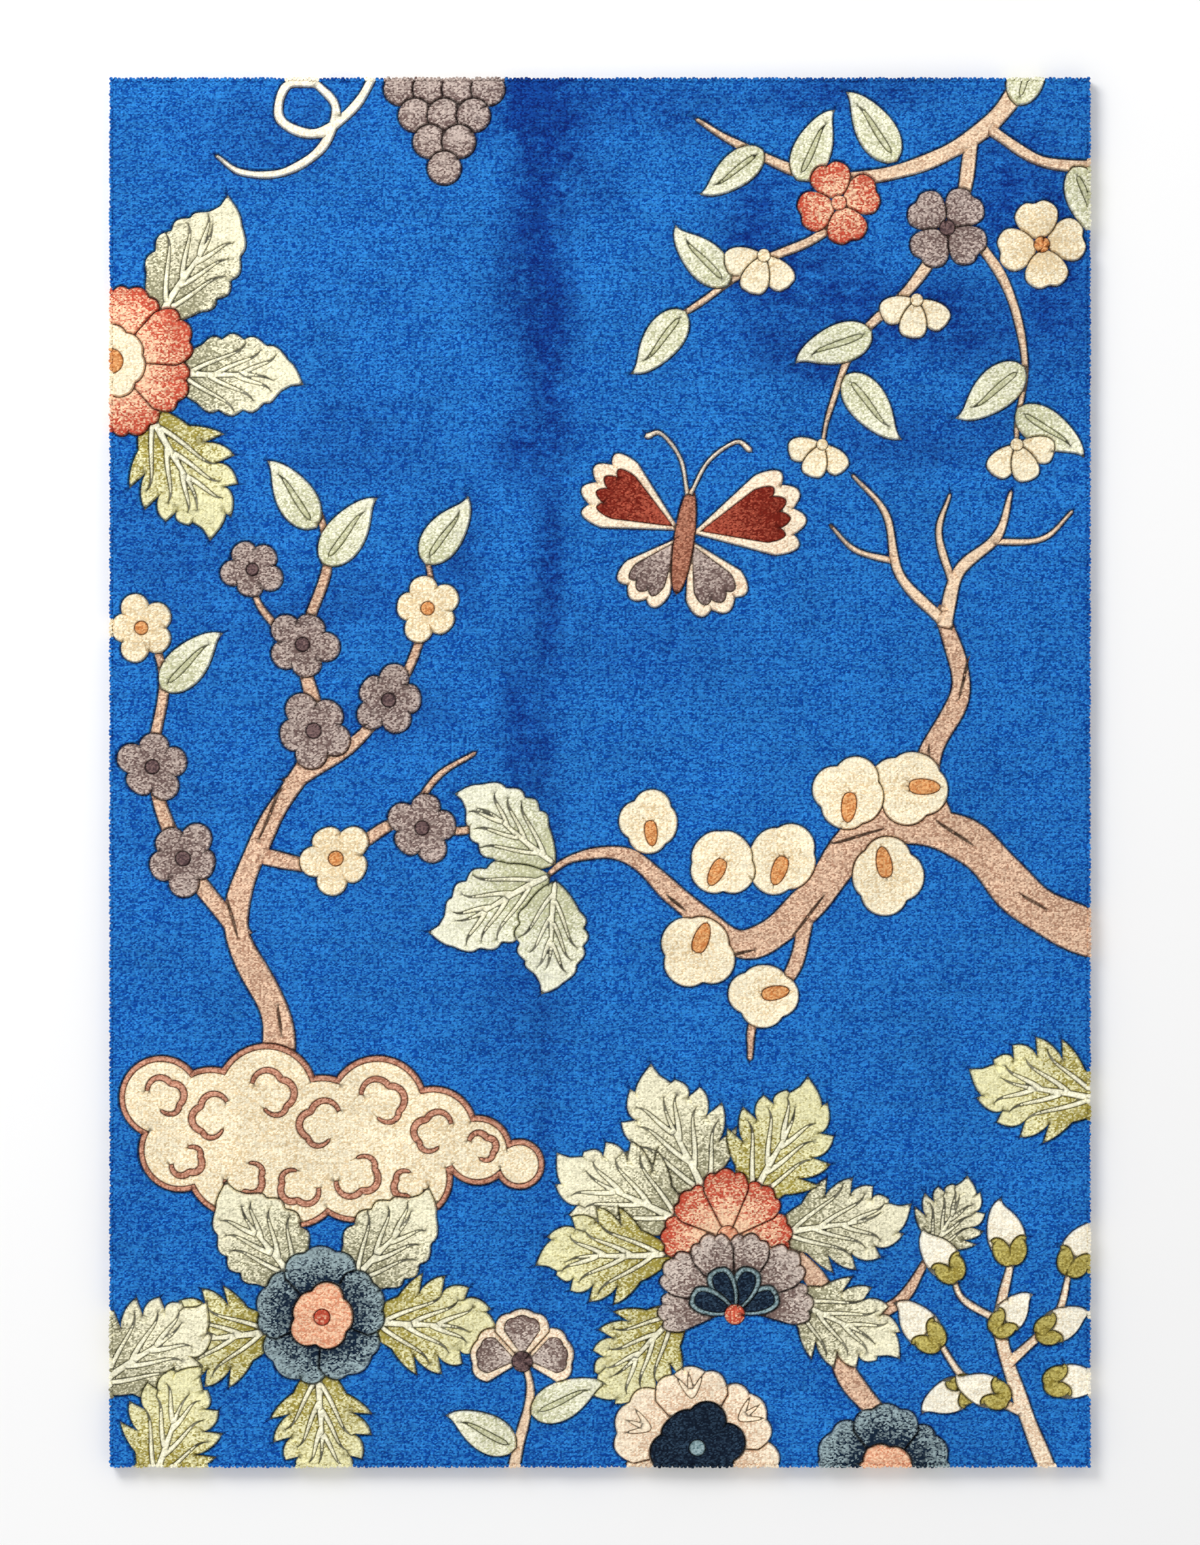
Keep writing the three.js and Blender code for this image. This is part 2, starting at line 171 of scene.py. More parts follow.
PLUM_TREE = [
    [[-238, -250, 26], [-232, -180, 22], [-262, -110, 18], [-240, -40, 15], [-204, 24, 12], [-214, 90, 9],
     [-196, 150, 7], [-204, 196, 4]],
    [[-256, -120, 14], [-300, -62, 11], [-322, 2, 9], [-314, 66, 7], [-330, 118, 4]],
    [[-226, -10, 11], [-176, 22, 9], [-140, 70, 7], [-122, 128, 5], [-128, 168, 3]],
    [[-246, -60, 12], [-196, -66, 10], [-146, -36, 8], [-98, -42, 6], [-66, -22, 3]],
    [[-212, 84, 6], [-246, 122, 5], [-250, 160, 3]],
    [[-140, -38, 6], [-118, -4, 5], [-90, 14, 3]],
]
PLUM_LEAVES = rows(
    Leaf,
    (-316, 60, 60, 29, 40, 0.14),
    (-200, 150, 62, 30, 48, 0.14),
    (-204, 176, 60, 29, 128, -0.12),
    (-126, 150, 58, 28, 60, -0.15),
)
GREY_PLUMS = rows(
    Flower,
    (-300, -62, 26, 20),
    (-322, 4, 25, 50),
    (-206, 30, 27, 12),
    (-152, 52, 25, 40),
    (-214, 92, 25, 30),
    (-128, -40, 25, 44),
    (-250, 146, 22, 10),
)
CREAM_PLUMS = rows(Flower, (-330, 104, 24, 0), (-124, 118, 24, 66), (-190, -62, 26, 8))

BOUGH = [
    [[380, -128, 34], [312, -96, 32], [262, -48, 30], [196, -40, 27], [152, -92, 25], [104, -124, 21],
     [58, -92, 16], [20, -60, 11], [-20, -62, 6], [-44, -80, 3]],
    [[250, -52, 20], [236, 6, 17], [260, 60, 14], [246, 116, 11]],
    [[150, -92, 12], [140, -140, 10], [112, -176, 7], [108, -206, 4]],
]
BARE_TWIGS = [
    [[248, 104, 11], [258, 144, 9], [286, 170, 7], [296, 202, 3]],
    [[248, 108, 9], [216, 142, 7], [206, 186, 5], [182, 214, 2.5]],
    [[254, 136, 6], [244, 172, 5], [252, 200, 2.5]],
    [[280, 166, 5], [318, 168, 4], [340, 188, 2.5]],
    [[212, 152, 5], [184, 160, 4], [166, 178, 2.2]],
]
MAGNOLIAS = rows(
    Flower,
    (224, -10, 27, 178),
    (180, -16, 26, 84),
    (132, -62, 26, 70),
    (206, -74, 27, -80),
    (88, -64, 25, 62),
    (70, -128, 27, -110),
    (36, -36, 22, 96),
    (118, -160, 24, 190),
)
BOUGH_LEAVES = rows(
    Leaf, (-32, -66, 86, 56, 146, -0.15), (-36, -74, 94, 60, 204, 0.16), (-32, -78, 80, 54, 262, 0.14)
)

CLOUD_RIM = 4.2
Puff = namedtuple("Puff", "x y radius")
CLOUDS = rows(
    Puff,
    (-316, -234, 26),
    (-280, -246, 30),
    (-240, -232, 33),
    (-200, -254, 32),
    (-160, -240, 32),
    (-120, -258, 28),
    (-88, -272, 21),
    (-262, -284, 32),
    (-220, -292, 32),
    (-176, -286, 34),
    (-136, -292, 26),
    (-302, -272, 26),
    (-58, -282, 14),
)
CLOUD_CURLS = rows(
    Curl,
    (-314, -236, 17, 150, -250),
    (-276, -250, 19, 60, 240),
    (-238, -234, 20, 140, -250),
    (-198, -256, 20, 50, 240),
    (-158, -240, 20, 150, -250),
    (-118, -262, 18, 40, 240),
    (-86, -272, 13, 140, -230),
    (-256, -288, 18, 200, 220),
    (-216, -294, 18, -20, -230),
    (-176, -286, 20, 210, 230),
    (-136, -294, 15, -30, -230),
    (-298, -276, 15, 210, 220),
)

SLATE_SAGE_LEAVES = rows(Leaf, (-214, -374, 94, 64, 124, 0.14), (-184, -374, 94, 62, 52, -0.14))
SLATE_OLIVE_LEAVES = rows(
    Leaf, (-172, -394, 98, 62, -8, 0.14), (-228, -400, 96, 62, 192, -0.14), (-202, -424, 92, 62, 268, 0.14)
)
SLATE_BLOOM = Bloom(-200, -392, 49, 20, 360, 5)
SLATE_HEART = Flower(-200, -392, 24, 40)

PEONY_STEMS = [
    [[120, -330, 12], [160, -372, 15], [176, -430, 16], [204, -470, 15], [214, -520, 15]],
    [[172, -400, 10], [214, -382, 9], [236, -350, 5]],
]
PEONY_SAGE_LEAVES = rows(
    Leaf,
    (82, -318, 114, 70, 112, 0.12),
    (66, -328, 108, 66, 150, 0.14),
    (122, -334, 102, 58, 14, -0.16),
    (130, -374, 96, 56, -30, 0.12),
    (236, -352, 66, 44, 66, -0.12),
)
PEONY_OLIVE_LEAVES = rows(
    Leaf, (104, -318, 106, 66, 66, -0.12), (54, -346, 98, 60, 186, -0.14), (62, -384, 92, 58, 222, 0.12)
)
CORAL_PEONY = Bloom(92, -336, 49, 92, 214, 5)
MAUVE_PEONY = Bloom(97, -386, 58, 94, 214, 6)
PEONY_HEART = Bloom(97, -388, 34, 91, 184, 4)
CREAM_BLOOM = Bloom(70, -486, 60, 96, 310, 5)
NAVY_HEART = Flower(70, -486, 32, 40)
HEM_BLOOM = Bloom(206, -504, 50, 90, 330, 5)

MAUVE_STEM = [[[-66, -520, 9], [-58, -482, 8], [-50, -446, 6], [-56, -420, 4]]]
MAUVE_BLOOM = Bloom(-56, -424, 38, 90, 236, 3)
MAUVE_LEAVES = rows(Leaf, (-50, -462, 58, 28, 20, 0.14), (-60, -486, 56, 28, 158, -0.14))

BUD_STALKS = [
    [[330, -520, 13], [306, -460, 11], [288, -400, 9], [296, -352, 5]],
    [[306, -462, 7], [266, -440, 6], [244, -410, 4]],
    [[296, -424, 7], [328, -392, 6], [338, -360, 4]],
    [[290, -396, 6], [262, -380, 5], [254, -362, 3.5]],
]
BUD_FULLNESS = 0.6
WHITE_BUDS = [
    Leaf(x, y, length, BUD_FULLNESS * length, turn, bend)
    for x, y, length, turn, bend in (
        (296, -352, 46, 96, 0.2),
        (244, -412, 44, 140, -0.2),
        (338, -360, 44, 70, -0.2),
        (256, -364, 42, 120, 0.2),
        (268, -440, 42, 214, -0.2),
        (316, -404, 40, 18, 0.2),
        (322, -440, 42, 10, -0.2),
        (284, -402, 38, 40, 0.2),
        (292, -452, 40, 150, 0.2),
    )
]

CORNER_SAGE_LEAVES = rows(Leaf, (-368, -446, 104, 66, 38, -0.12))
CORNER_OLIVE_LEAVES = rows(Leaf, (-326, -520, 98, 62, 66, 0.12), (370, -238, 104, 64, 166, 0.12))

# Soft marks where the nap has been pressed over: the pile sinks a little there and is darkened with painted
# shade. Each has half-sizes across and along, a turn and a depth.
NAP_MARKS = rows(
    Mark,
    (-42, 420, 17, 110, 3, 0.7),
    (-26, 448, 22, 46, 28, 0.6),
    (-62, 480, 48, 26, 4, 0.65),
    (-56, 380, 20, 66, -8, 0.45),
    (-38, 290, 17, 74, 2, 0.55),
    (-52, 236, 26, 22, 38, 0.55),
    (-34, 190, 8, 90, 0, 0.35),
    (-40, 40, 11, 200, 0, 0.32),
    (-58, 30, 14, 52, 6, 0.5),
    (-150, 40, 40, 16, 8, 0.45),
    (-196, 118, 56, 16, 14, 0.4),
    (-104, 150, 20, 44, -10, 0.35),
    (-40, -230, 6, 240, 0, 0.22),
    (40, 478, 40, 18, -6, 0.5),
    (170, 488, 60, 14, 5, 0.5),
    (112, 392, 26, 44, -14, 0.6),
    (142, 352, 38, 26, 12, 0.65),
    (150, 300, 50, 18, -8, 0.6),
    (206, 330, 60, 24, 6, 0.5),
    (268, 318, 50, 30, -16, 0.6),
    (300, 420, 40, 52, 12, 0.55),
    (330, 360, 24, 60, -4, 0.5),
    (230, 240, 70, 20, 4, 0.4),
    (-240, 460, 60, 30, 10, 0.25),
    (-300, 200, 40, 90, -6, 0.2),
    (-180, 240, 60, 34, 8, 0.2),
    (20, 90, 80, 30, -6, 0.16),
    (-60, -160, 24, 60, 4, 0.22),
)

# ------------------------------------------------------------------ yarns

# A dyed pair for each yarn: the light one and the deep one, as displayed red, green and blue out of 255.
YARNS = {
    "ground": ((47, 129, 208), (0, 67, 150)),
    "sand": ((244, 216, 184), (196, 158, 128)),
    "tan": ((236, 200, 170), (172, 130, 106)),
    "umber": ((190, 130, 105), (132, 78, 60)),
    "cream": ((253, 241, 210), (226, 200, 156)),
    "ivory": ((254, 248, 228), (232, 216, 184)),
    "bisque": ((255, 238, 210), (220, 184, 152)),
    "celadon": ((245, 243, 218), (192, 192, 152)),
    "sage": ((247, 241, 208), (146, 142, 112)),
    "olive": ((238, 233, 184), (158, 144, 66)),
    "moss": ((196, 182, 104), (146, 130, 58)),
    "vein": ((250, 246, 218), (226, 220, 184)),
    "coral": ((250, 208, 170), (194, 80, 60)),
    "apricot": ((250, 204, 168), (218, 142, 108)),
    "amber": ((232, 172, 114), (196, 120, 66)),
    "taupe": ((196, 178, 168), (108, 88, 84)),
    "smoke": ((122, 98, 96), (80, 62, 64)),
    "mauve": ((214, 198, 186), (114, 94, 88)),
    "steel": ((150, 174, 178), (92, 120, 126)),
    "slate": ((150, 170, 174), (22, 38, 56)),
    "navy": ((52, 72, 92), (16, 28, 44)),
    "rust": ((178, 86, 66), (112, 34, 24)),
    "clay": ((214, 158, 132), (160, 104, 82)),
}
YARN_NAMES = list(YARNS)

# ------------------------------------------------------------------ outlines

PACE = 2.3                   # distance between the points of an outline
CORNER = math.radians(28)    # a sharper turn than this is kept as a corner
TIP_HOOK = 0.75              # how far a leaf's tip turns back from the bend of its rib


def polar(x, y, radius, turn):
    """Points at distances and bearings from (x, y)."""
    angle = np.radians(turn)
    return np.stack([x + radius * np.cos(angle), y + radius * np.sin(angle)], axis=-1)


def swell(t, rise, fall):
    """Half-width of a leaf along its rib: 0 at both ends and 1 at its widest."""
    peak = rise / (rise + fall)
    return t**rise * (1 - t) ** fall / (peak**rise * (1 - peak) ** fall)


def beside_rib(leaf, t, left):
    """Points beside a leaf's bending rib: shares t along it, and distances to its left."""
    along = np.stack([leaf.length * t, leaf.bend * leaf.length * (t**2 - TIP_HOOK * t**8)], axis=-1)
    normal = np.stack([-leaf.bend * (2 * t - 8 * TIP_HOOK * t**7), np.ones_like(t)], axis=-1)
    normal /= np.linalg.norm(normal, axis=-1, keepdims=True)
    place = along + normal * left[:, None]
    sine, cosine = math.sin(math.radians(leaf.turn)), math.cos(math.radians(leaf.turn))
    x = leaf.x + cosine * place[:, 0] - sine * place[:, 1]
    y = leaf.y + sine * place[:, 0] + cosine * place[:, 1]
    return np.stack([x, y], axis=-1)


def rib_turn(leaf, t):
    """The bearing of a leaf's rib at a share t along it."""
    return leaf.turn + math.degrees(math.atan(2 * leaf.bend * t))


def blade(leaf, rise=0.6, fall=1.0, steps=24):
    """A leaf with smooth edges, from its base along one side to the tip and back."""
    out = np.linspace(0, 1, steps + 1)
    half = leaf.width / 2 * swell(out, rise, fall)
    left = beside_rib(leaf, out, half)
    right = beside_rib(leaf, out, -half)
    return np.concatenate([left, right[-2:0:-1]])


# A cut leaf has a smooth neck, teeth and a tip. The neck and each tooth have a start and an end, as shares
# of the rib. The tip's points are shares of the rib, with shares of a plain blade's half-width there.
NECK = (0.02, 0.24)
TEETH = ((0.25, 0.4), (0.41, 0.57), (0.58, 0.73), (0.74, 0.87))
TIP = ((0.885, 0.84), (0.92, 0.9), (0.96, 0.95))
TIP_END = 1.03
TOOTH_OVERSHOOT = 0.2        # how far a pointed tooth stands past the plain blade
TOOTH_LEAN = 0.035           # how far its point leans forward
SIDE_SHIFT = 0.014           # how far the teeth of the two sides are out of step


def toothed_leaf(leaf, bite, round_teeth):
    """A peony's leaf: a smooth base, teeth on each side that point forward, and a long tip."""
    share = np.arange(8) / 7
    lean = 0 if round_teeth else TOOTH_LEAN * share**4
    if round_teeth:
        tooth = 1 - bite * (1 - np.sin(np.pi * share))
    else:
        tooth = 1 - bite + (bite + TOOTH_OVERSHOOT) * share**0.75
    spans = [(np.linspace(*NECK, 6), np.full(6, 1 - bite))]
    spans += [(start + (end - start) * share + lean, tooth) for start, end in TEETH]
    spans.append(tuple(np.array(TIP).T))
    along, reach = (np.concatenate(values) for values in zip(*spans))
    sides = []
    for side in (1, -1):
        t = along + side * SIDE_SHIFT * np.sin(np.pi * along)
        sides.append(beside_rib(leaf, t, side * leaf.width / 2 * swell(t, 0.8, 0.85) * reach))
    ends = beside_rib(leaf, np.array([0, TIP_END]), np.zeros(2))
    return np.concatenate([ends[:1], sides[0], ends[1:], sides[1][::-1]])


def rosette(x, y, radius, turn, petals, notch, steps=14, uneven=0.1):
    """A blossom seen from the front, its rim swelling out once for each petal."""
    count = petals * steps
    turns = np.arange(count) / count
    phase = turns * petals % 1
    size = 1 + uneven * np.sin(2.4 * np.floor(turns * petals) + turn) * np.sin(np.pi * phase)
    reach = radius * size * (1 - notch * np.abs(2 * phase - 1) ** 2.4)
    return polar(x, y, reach, turn + 360 * turns)


def petal(x, y, radius, turn, spread, scallops=3, scoop=0.06, blunt=0.2, steps=9):
    """A petal that widens from its root to a scalloped rim."""
    u = np.linspace(0, 1, scallops * steps + 1)
    scoops = 1 - scoop * (1 - np.abs(np.sin(np.pi * scallops * u)))
    reach = radius * (1 - blunt * np.abs(2 * u - 1) ** 3) * scoops
    rim = polar(x, y, reach, turn + spread * (u - 0.5))
    return np.concatenate([[[x, y]], rim])


def nicked_petal(x, y, radius, turn, width=1.02, steps=40):
    """One round petal of a four-petal blossom, with a nick in its tip."""
    a = 2 * np.pi * (np.arange(steps) + 0.5) / steps
    a = np.where(a > np.pi, a - 2 * np.pi, a)
    nick = 1 - 0.2 * np.exp(-((a / 0.26) ** 2))
    along = 0.56 + 0.44 * nick * np.cos(a)
    across = width / 2 * np.sin(a) * (0.62 + 0.38 * np.clip(1.4 * along, 0, 1))
    return polar(x, y, radius * np.hypot(along, across), turn + np.degrees(np.arctan2(across, along)))


def disc(x, y, radius, steps=30):
    """A circle."""
    return polar(x, y, radius, 360 * np.arange(steps) / steps)


def smooth_path(knots, steps=8):
    """A Catmull-Rom curve through knots of any number of values."""
    k = np.array(knots, dtype=float)
    k = np.vstack([2 * k[0] - k[1], k, 2 * k[-1] - k[-2]])
    t = (np.arange(steps) / steps)[:, None]
    spans = []
    for a, b, c, d in zip(k, k[1:], k[2:], k[3:]):
        bend = (c - a) * t + (2 * a - 5 * b + 4 * c - d) * t**2
        spans.append(b + (bend + (3 * b - a - 3 * c + d) * t**3) / 2)
    return np.vstack([*spans, k[-2]])


def stroke(knots, dx=0, dy=0, knobbly=0.05):
    """A branch, stem or feeler that tapers through its knots and ends round."""
    path = smooth_path(knots)
    spine = path[:, :2] + (dx, dy)
    along = np.gradient(spine, axis=0)
    along /= np.linalg.norm(along, axis=1, keepdims=True)
    across = np.stack([-along[:, 1], along[:, 0]], axis=1)
    half = path[:, 2:] / 2 * (1 + knobbly * np.sin(1.1 * np.arange(len(path))[:, None] + knots[0][0]))
    end = spine[-1:] + along[-1:] * half[-1]
    return np.concatenate([spine + across * half, end, (spine - across * half)[::-1]])


def curl(x, y, radius, turn, sweep, width=4.4, tighten=0.55):
    """A scroll of three small lobes that winds inwards and ends in a hook."""
    u = np.linspace(0, 1, 25)
    lobes = 1 - 0.2 * (1 - np.abs(np.sin(3 * np.pi * u))) * (1 - u**4)
    place = polar(x, y, radius * lobes * (1 - tighten * u**3), turn + sweep * u)
    widths = width * (0.5 + 0.6 * np.sin(np.pi * np.clip(0.9 * u + 0.1, 0, 1)))
    return stroke(np.column_stack([place, widths]).tolist(), knobbly=0)


def anticlockwise(outline):
    """The outline with its inside on its left."""
    x, y = outline.T
    area = np.sum(x * np.roll(y, -1) - y * np.roll(x, -1))
    return outline if area > 0 else outline[::-1]


def evenly(outline, pace=PACE):
    """The outline with a point about every pace, and its corners kept."""
    ahead = np.roll(outline, -1, axis=0) - outline
    behind = outline - np.roll(outline, 1, axis=0)
    sideways = behind[:, 0] * ahead[:, 1] - behind[:, 1] * ahead[:, 0]
    turn = np.arctan2(sideways, np.sum(behind * ahead, axis=1))
    corners = np.flatnonzero(np.abs(turn) > CORNER)
    start = corners[0] if len(corners) else 0
    closed = np.vstack([np.roll(outline, -start, axis=0), outline[start]])
    stops = np.append(corners - start, len(outline)) if len(corners) else np.array([0, len(outline)])
    pieces = []
    for first, last in zip(stops, stops[1:]):
        part = closed[first : last + 1]
        gone = np.append(0, np.cumsum(np.linalg.norm(np.diff(part, axis=0), axis=1)))
        count = max(1, round(gone[-1] / pace))
        marks = gone[-1] * np.arange(count) / count
        pieces.append(np.column_stack([np.interp(marks, gone, part[:, i]) for i in (0, 1)]))
    return np.vstack(pieces)


# ------------------------------------------------------------------ motifs

# How deeply a groove is shorn, as a height over the floor, and how far it reaches to each side.
Groove = namedtuple("Groove", "bottom reach")
BOLD = Groove(FIELD_TOP - 3.25, 1.35)
FINE = Groove(MOTIF_TOP - 1.9, 0.95)

# The share of deep knots: one value all over, or running from `near` to `far` with the distance from a point.
Tone = namedtuple("Tone", "x y start end near far")
Motif = namedtuple("Motif", "yarn outlines tone groove")


def even(share):
    """The same share all over."""
    return Tone(0, 0, 0, 1, share, share)


def bearings(shape):
    """The bearing of each petal of a bloom."""
    step = shape.sweep / shape.petals
    return [shape.turn - shape.sweep / 2 + step * (k + 0.5) for k in range(shape.petals)]


PETAL_OVERLAP = 1.16         # a petal's width as a share of its room in a bloom
PETAL_UNEVEN = 0.05
VEIN_PAIRS = 3
VEIN_REACH = 0.8             # how far a cut leaf's middle vein runs along its rib
VEIN_WIDTH, FORK_WIDTH = 0.075, 0.055  # the widths of its veins, as shares of the leaf's
POINTED_BITE, ROUND_BITE = 0.24, 0.12
BARK_LEAST = 13              # the thinnest branch that has lines in its bark


class Design:
    """The motifs in the order that they are laid down, the lowest first."""

    def __init__(self):
        self.motifs = []

    def add(self, yarn, outlines, tone, groove=BOLD):
        """One motif of some outlines, with a groove round the whole of it."""
        self.motifs.append(Motif(yarn, [evenly(anticlockwise(o)) for o in outlines], tone, groove))

    def dot(self, yarn, x, y, radius, share=0.5):
        """A small disc with a fine groove round it."""
        self.add(yarn, [disc(x, y, radius)], even(share), FINE)

    def branches(self, yarn, paths, share, dx=0, dy=0):
        """Tapering strokes that run together."""
        self.add(yarn, [stroke(knots, dx, dy) for knots in paths], even(share))

    def plain_leaves(self, leaves):
        """Pale leaves with one deeper vein each."""
        for leaf in leaves:
            self.add("celadon", [blade(leaf)], Tone(leaf.x, leaf.y, 0, leaf.length, 0.7, 0.15))
            base = beside_rib(leaf, np.array([0.12]), np.zeros(1))[0]
            vein = Leaf(*base, 0.66 * leaf.length, 0.15 * leaf.width, rib_turn(leaf, 0.12), 0.7 * leaf.bend)
            self.add("celadon", [blade(vein, 0.35, 0.7)], even(0.85), FINE)

    def veins(self, leaf):
        """Light wedges that start wide at the leaf's base and fork into points."""
        length, bend = VEIN_REACH * leaf.length, VEIN_REACH * leaf.bend
        wedges = [leaf._replace(length=length, width=VEIN_WIDTH * leaf.width, bend=bend)]
        for k in range(VEIN_PAIRS):
            for side in (1, -1):
                t = 0.1 + 0.2 * k + 0.05 * (side > 0)
                root = beside_rib(leaf, np.array([t]), np.zeros(1))[0]
                turn = rib_turn(leaf, t) + side * (33 - 3 * k)
                length = leaf.length * (0.5 - 0.1 * k)
                wedges.append(Leaf(*root, length, FORK_WIDTH * leaf.width, turn, -0.16 * side))
        self.add("vein", [blade(w, 0.2, 0.7) for w in wedges], even(0.12), FINE)

    def cut_leaves(self, leaves, yarn, round_teeth=False):
        """A peony's leaves: deep at the base and light at the tip, with forking veins."""
        for leaf in leaves:
            outline = toothed_leaf(leaf, ROUND_BITE if round_teeth else POINTED_BITE, round_teeth)
            self.add(yarn, [outline], Tone(leaf.x, leaf.y, 0.15 * leaf.length, 0.8 * leaf.length, 0.95, 0.03))
            self.veins(leaf)

    def plum(self, flower, yarn, heart):
        """A small blossom of five petals round a heart of another yarn."""
        x, y, radius, turn = flower
        self.add(yarn, [rosette(x, y, radius, turn, 5, 0.26)], Tone(x, y, 0.2 * radius, radius, 0.75, 0.4))
        self.dot(heart, x, y, 0.21 * radius)

    def four_petals(self, flower, yarn, heart, near, far):
        """A blossom of four nicked petals."""
        x, y, radius, turn = flower
        for k in range(4):
            outline = nicked_petal(x, y, radius, turn + 90 * k)
            self.add(yarn, [outline], Tone(x, y, 0.2 * radius, radius, near, far))
        self.dot(heart, x, y, 0.18 * radius)

    def side_blossom(self, flower):
        """A cream blossom seen from its side: two petals and a third over them."""
        x, y, radius, turn = flower
        for lean in (-58, 58, 0):
            outline = blade(Leaf(x, y, radius, 0.72 * radius, turn + lean, 0), 0.75, 0.35)
            self.add("cream", [outline], Tone(x, y, 0, radius, 0.55, 0.1))
        self.dot("cream", x, y, 0.17 * radius)

    def magnolia(self, flower):
        """A round cream flower with an orange drop at its root."""
        x, y, radius, turn = flower
        outline = rosette(x, y, radius, turn + 30, 4, 0.13)
        self.add("cream", [outline], Tone(x, y, 0, radius, 0.6, 0.15))
        root = polar(x, y, 0.78 * radius, turn + 180)
        drop = Leaf(*root, 0.85 * radius, 0.42 * radius, turn, 0)
        self.add("amber", [blade(drop, 0.5, 0.35)], even(0.45), FINE)

    def bloom(self, shape, yarn, near, far, start=0.45):
        """Petals side by side round one root, the middle ones on top."""
        x, y, radius, turn, sweep, petals = shape
        middle = (petals - 1) / 2
        turns = bearings(shape)
        for k in sorted(range(petals), key=lambda k: -abs(k - middle)):
            reach = radius * (1 + PETAL_UNEVEN * math.sin(2.1 * k + turn))
            outline = petal(x, y, reach, turns[k], PETAL_OVERLAP * (sweep / petals))
            self.add(yarn, [outline], Tone(x, y, start * radius, radius, near, far))

    def petal_marks(self, shape, yarn):
        """Three short strokes on each petal of a bloom."""
        marks = []
        for bearing in bearings(shape):
            root = polar(shape.x, shape.y, 0.6 * shape.radius, bearing)
            size = (0.3 * shape.radius, 0.06 * shape.radius)
            marks += [Leaf(*root, *size, bearing + lean, 0) for lean in (-30, 2, 30)]
        self.add(yarn, [blade(mark, 0.4, 0.7) for mark in marks], even(0.05), FINE)

    def bark(self, yarn, paths):
        """Thin lines shorn along the thick stretches of branches."""
        lines = []
        for knots in paths:
            path = smooth_path(knots)
            for i in range(7, len(path) - 6, 8):
                x, y, width = path[i]
                if width > BARK_LEAST:
                    run = path[i + 3] - path[i - 3]
                    turn = math.degrees(math.atan2(run[1], run[0]))
                    beside = 0.22 * width * math.sin(2.3 * i)
                    root = polar(x, y, beside, turn + 90)
                    lines.append(Leaf(*root, 28 + 12 * math.sin(1.7 * i), 1.7, turn, 0.06))
        self.add(yarn, [blade(line, 0.5, 0.5) for line in lines], even(0.6), FINE)

    def rimmed_petals(self, shape, rim, yarn, tone):
        """Long petals with a rim of another yarn."""
        x, y, radius = shape[:3]
        for bearing in bearings(shape):
            outer = Leaf(x, y, radius, 0.58 * radius, bearing, 0)
            inner = Leaf(*polar(x, y, 0.1 * radius, bearing), 0.8 * radius, 0.38 * radius, bearing, 0)
            self.add(rim, [blade(outer, 0.7, 0.35)], even(0.3))
            self.add(yarn, [blade(inner, 0.7, 0.35)], tone, FINE)

    def white_bud(self, bud):
        """A pointed bud that stands in a cup of two olive leaves."""
        x, y, length = bud[:3]
        self.add("ivory", [blade(bud, 0.6, 0.95)], Tone(x, y, 0, length, 0.5, 0.05))
        root = polar(x, y, 0.06 * length, bud.turn + 180)
        size = (0.5 * length, 0.29 * length)
        cup = [Leaf(*root, *size, bud.turn + lean, -lean / 110) for lean in (-40, 40)]
        self.add("moss", [blade(half, 0.6, 0.75) for half in cup], Tone(x, y, 0, 0.4 * length, 0.75, 0.2))

    def wing(self, shape):
        """A scalloped wing with a pale rim, from the butterfly's body."""
        x, y = BUTTERFLY[0] + shape.dx, BUTTERFLY[1] + shape.dy
        rim = (shape.scallops, 0.1, 0.18)
        outer = petal(x, y, shape.length, shape.turn, shape.spread, *rim)
        root = polar(x, y, 0.08 * shape.length, shape.turn)
        inner = petal(*root, 0.78 * shape.length, shape.turn, 0.82 * shape.spread, *rim)
        self.add("bisque", [outer], even(0.25))
        self.add(shape.yarn, [inner], Tone(*BUTTERFLY, 12, 0.85 * shape.length, 0.15, 0.9), FINE)


def hanging_spray(design):
    design.branches("sand", SPRAY_BRANCHES, 0.4)
    design.plain_leaves(SPRAY_LEAVES)
    coral, grey, cream = SPRAY_BLOSSOMS
    design.four_petals(coral, "coral", "coral", 0.3, 0.95)
    design.four_petals(grey, "taupe", "smoke", 0.75, 0.4)
    design.four_petals(cream, "cream", "amber", 0.9, 0.3)
    for flower in SPRAY_BUDS:
        design.side_blossom(flower)


def floret_bunch(design):
    design.branches("ivory", TENDRIL, 0.2)
    for row in range(BUNCH.rows):
        count = BUNCH.rows - row
        y = BUNCH.top - row * BUNCH.drop
        for k in range(count):
            x = BUNCH.x + (k - (count - 1) / 2) * BUNCH.pitch
            tone = Tone(x, y + 5, 0, 1.2 * BUNCH.radius, 0.15, 0.7)
            design.add("taupe", [disc(x, y, BUNCH.radius)], tone)


def edge_bloom(design):
    design.cut_leaves(EDGE_BLOOM_LEAVES[:2], "sage", True)
    design.cut_leaves(EDGE_BLOOM_LEAVES[2:], "olive")
    design.bloom(EDGE_BLOOM, "coral", 0.25, 0.95)
    x, y = EDGE_BLOOM.x, EDGE_BLOOM.y
    design.add("cream", [rosette(x, y, 27, 10, 7, 0.14)], even(0.2))
    design.dot("amber", x, y, 9)


def butterfly(design):
    x, y = BUTTERFLY
    for shape in WINGS:
        design.wing(shape)
    design.add("umber", [blade(Leaf(x - 7, y - 44, 78, 15, 82, 0), 0.5, 0.5)], even(0.5))
    design.branches("bisque", FEELERS, 0.2, x, y)


